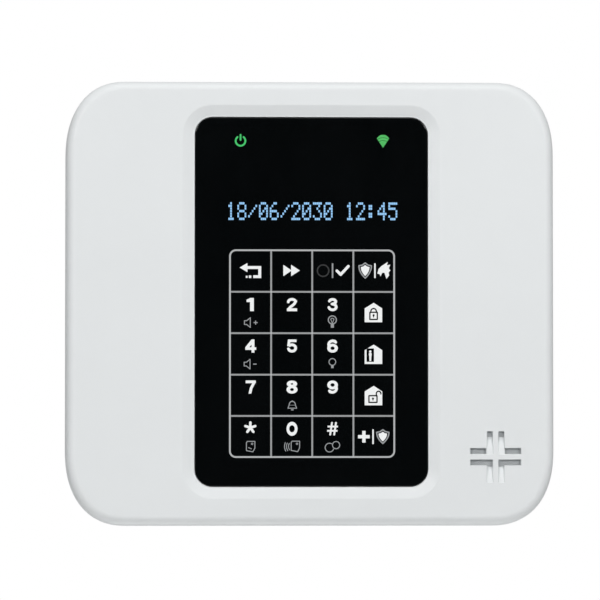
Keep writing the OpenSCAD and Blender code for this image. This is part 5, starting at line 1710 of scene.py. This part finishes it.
# wall tamper switch: parting line, side ribs and two blades soldered to the board's edge
src = frame["nodes"]["wall_tamper_switch"].data
bm = bmesh.new()
bm.from_mesh(src)
bm.transform(Matrix.Scale(1 / MM, 4))
bmesh.ops.remove_doubles(bm, verts=bm.verts, dist=2e-3)
sw = Solid(bm)
for z in (-3.6, 3.6):
    sw.cut(boxm(76.5, 77.3, -16.5, -12.9, z - 0.5, z + 0.5), boxm(88.7, 89.5, -16.5, -12.9, z - 0.5, z + 0.5))
for x in (79.4, 86.6):
    sw.cut(boxm(x - 0.5, x + 0.5, -16.5, -12.9, -6.5, -5.7), boxm(x - 0.5, x + 0.5, -16.5, -12.9, 5.7, 6.5))
sw.cut(cyl("y", 2.9, 83, 0, -16.5, -15.75, 40))
sw.add(cyl("y", 1.1, 83, 0, -15.95, -15.3, 32))
for z0, z1 in ((-7, -5.75), (5.75, 7)):
    sw.cut(boxm(76, 90, -12.7, -12.45, z0, z1))
for x0, x1 in ((76, 77.25), (88.75, 90)):
    sw.cut(boxm(x0, x1, -12.7, -12.45, -7, 7))
ob = obj_from("wall_tamper_switch_body", sw.bm(), M["black"], "root", 32)
report_open(ob.name, ob.data)
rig.replaces(ob, "wall_tamper_switch")
bm = bmesh.new()
for z in (-2.6, 2.6):
    add_box(bm, 72.2, 77.4, YM - 0.42, YM - 0.02, z - 0.8, z + 0.8, bev=0.06)
    add_lathe_y(bm, 72.9, z, [(0, YM + 0.0), (1.15, YM + 0.0), (0.95, YM - 0.4), (0.5, YM - 0.75), (0, YM - 0.85)], 24)
obj_from("wall_tamper_switch_blades", bm, M["tin"], "root", 35)

# ------------------------------------------------------------- floor, light, camera
fm = bmesh.new()
bmesh.ops.create_grid(fm, x_segments=2, y_segments=2, size=1.6)
me = bpy.data.meshes.new("floor")
fm.to_mesh(me)
fm.free()
floor = bpy.data.objects.new("floor", me)
coll.objects.link(floor)
floor.location = (0, 0, -0.62)
m, nt, s, obj = tree("pale_floor")
n1 = noise(nt, obj, 6.0, 4.0)
link(nt, ramp(nt, n1, [(0.3, lin(232, 232, 232)), (0.7, lin(238, 238, 238))]), s.inputs["Base Color"])
link(nt, ramp(nt, n1, [(0.3, 0.75), (0.7, 0.85)]), s.inputs["Roughness"])
me.materials.append(m)
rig.stage(floor)

world = bpy.data.worlds.new("studio")
scene.world = world
world.use_nodes = True
nt = world.node_tree
nt.nodes.clear()
out = nt.nodes.new("ShaderNodeOutputWorld")
bg = nt.nodes.new("ShaderNodeBackground")
see = nt.nodes.new("ShaderNodeBackground")
see.inputs["Color"].default_value = (1, 1, 1, 1)
tc = nt.nodes.new("ShaderNodeTexCoord")
sep = nt.nodes.new("ShaderNodeSeparateXYZ")
nt.links.new(tc.outputs["Generated"], sep.inputs[0])
up = math_node(nt, "ADD", math_node(nt, "MULTIPLY", sep.outputs["Z"], 0.5), 0.5)
sky = ramp(nt, math_node(nt, "ADD", math_node(nt, "MULTIPLY", sep.outputs["Y"], 0.5), 0.5), [(0.0, 0.21), (0.35, 0.24), (0.6, 0.37), (1.0, 0.54)])
flag = ramp(nt, math_node(nt, "MULTIPLY", sep.outputs["Y"], -1.0), [(0.9, 1.0), (0.97, 0.012)])
mx = nt.nodes.new("ShaderNodeMix")
mx.data_type = "RGBA"
mx.blend_type = "MULTIPLY"
mx.inputs[0].default_value = 1.0
nt.links.new(sky, mx.inputs[6])
nt.links.new(flag, mx.inputs[7])
nt.links.new(mx.outputs[2], bg.inputs["Color"])
bg.inputs["Strength"].default_value = 1.0
lp = nt.nodes.new("ShaderNodeLightPath")
ms = nt.nodes.new("ShaderNodeMixShader")
nt.links.new(lp.outputs["Is Camera Ray"], ms.inputs[0])
nt.links.new(bg.outputs[0], ms.inputs[1])
nt.links.new(see.outputs[0], ms.inputs[2])
nt.links.new(ms.outputs[0], out.inputs["Surface"])


def area_light(name, loc, aim, size, power, colour=(1, 1, 1)):
    ld = bpy.data.lights.new(name, "AREA")
    ld.shape = "RECTANGLE"
    ld.size, ld.size_y = size
    ld.energy = power
    ld.color = colour
    lo = bpy.data.objects.new(name, ld)
    coll.objects.link(lo)
    lo.location = loc
    lo.rotation_euler = (Vector(aim) - Vector(loc)).to_track_quat("-Z", "Y").to_euler()
    return lo


area_light("front_left", (-0.78, -1.85, 0.56), (0, 0, 0), (0.45, 0.3), 10.1)
area_light("front_right", (0.78, -1.85, 0.56), (0, 0, 0), (0.45, 0.3), 10.1)
area_light("above", (0, -0.9, 1.5), (0, 0, 0), (1.2, 0.7), 12.6)
area_light("under", (0, 0.2, -0.56), (0, 0, 0), (0.5, 0.2), 0.8)

cam_data = bpy.data.cameras.new("camera")
cam = bpy.data.objects.new("camera", cam_data)
coll.objects.link(cam)
CAM_AZ, CAM_EL, CAM_D, CAM_AIM, CAM_LENS = -1.9, -1.9, 1.5, (-0.0040, -0.050, 0.0013), 223.4
az, el = math.radians(CAM_AZ), math.radians(CAM_EL)
aim = Vector(CAM_AIM)
cam.location = aim + Vector((math.sin(az) * math.cos(el), -math.cos(az) * math.cos(el), math.sin(el))) * CAM_D
cam.rotation_euler = (aim - cam.location).to_track_quat("-Z", "Y").to_euler()
cam_data.sensor_width = 36
cam_data.lens = CAM_LENS
cam_data.clip_start = 0.05
cam_data.clip_end = 50
scene.camera = cam
scene.view_settings.view_transform = "Standard"
scene.view_settings.look = "None"

visual_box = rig.bounds()
json.dump({"cad": [list(map(float, v)) for v in cad_box], "visual": [list(map(float, v)) for v in visual_box]}, open("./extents.json", "w"))
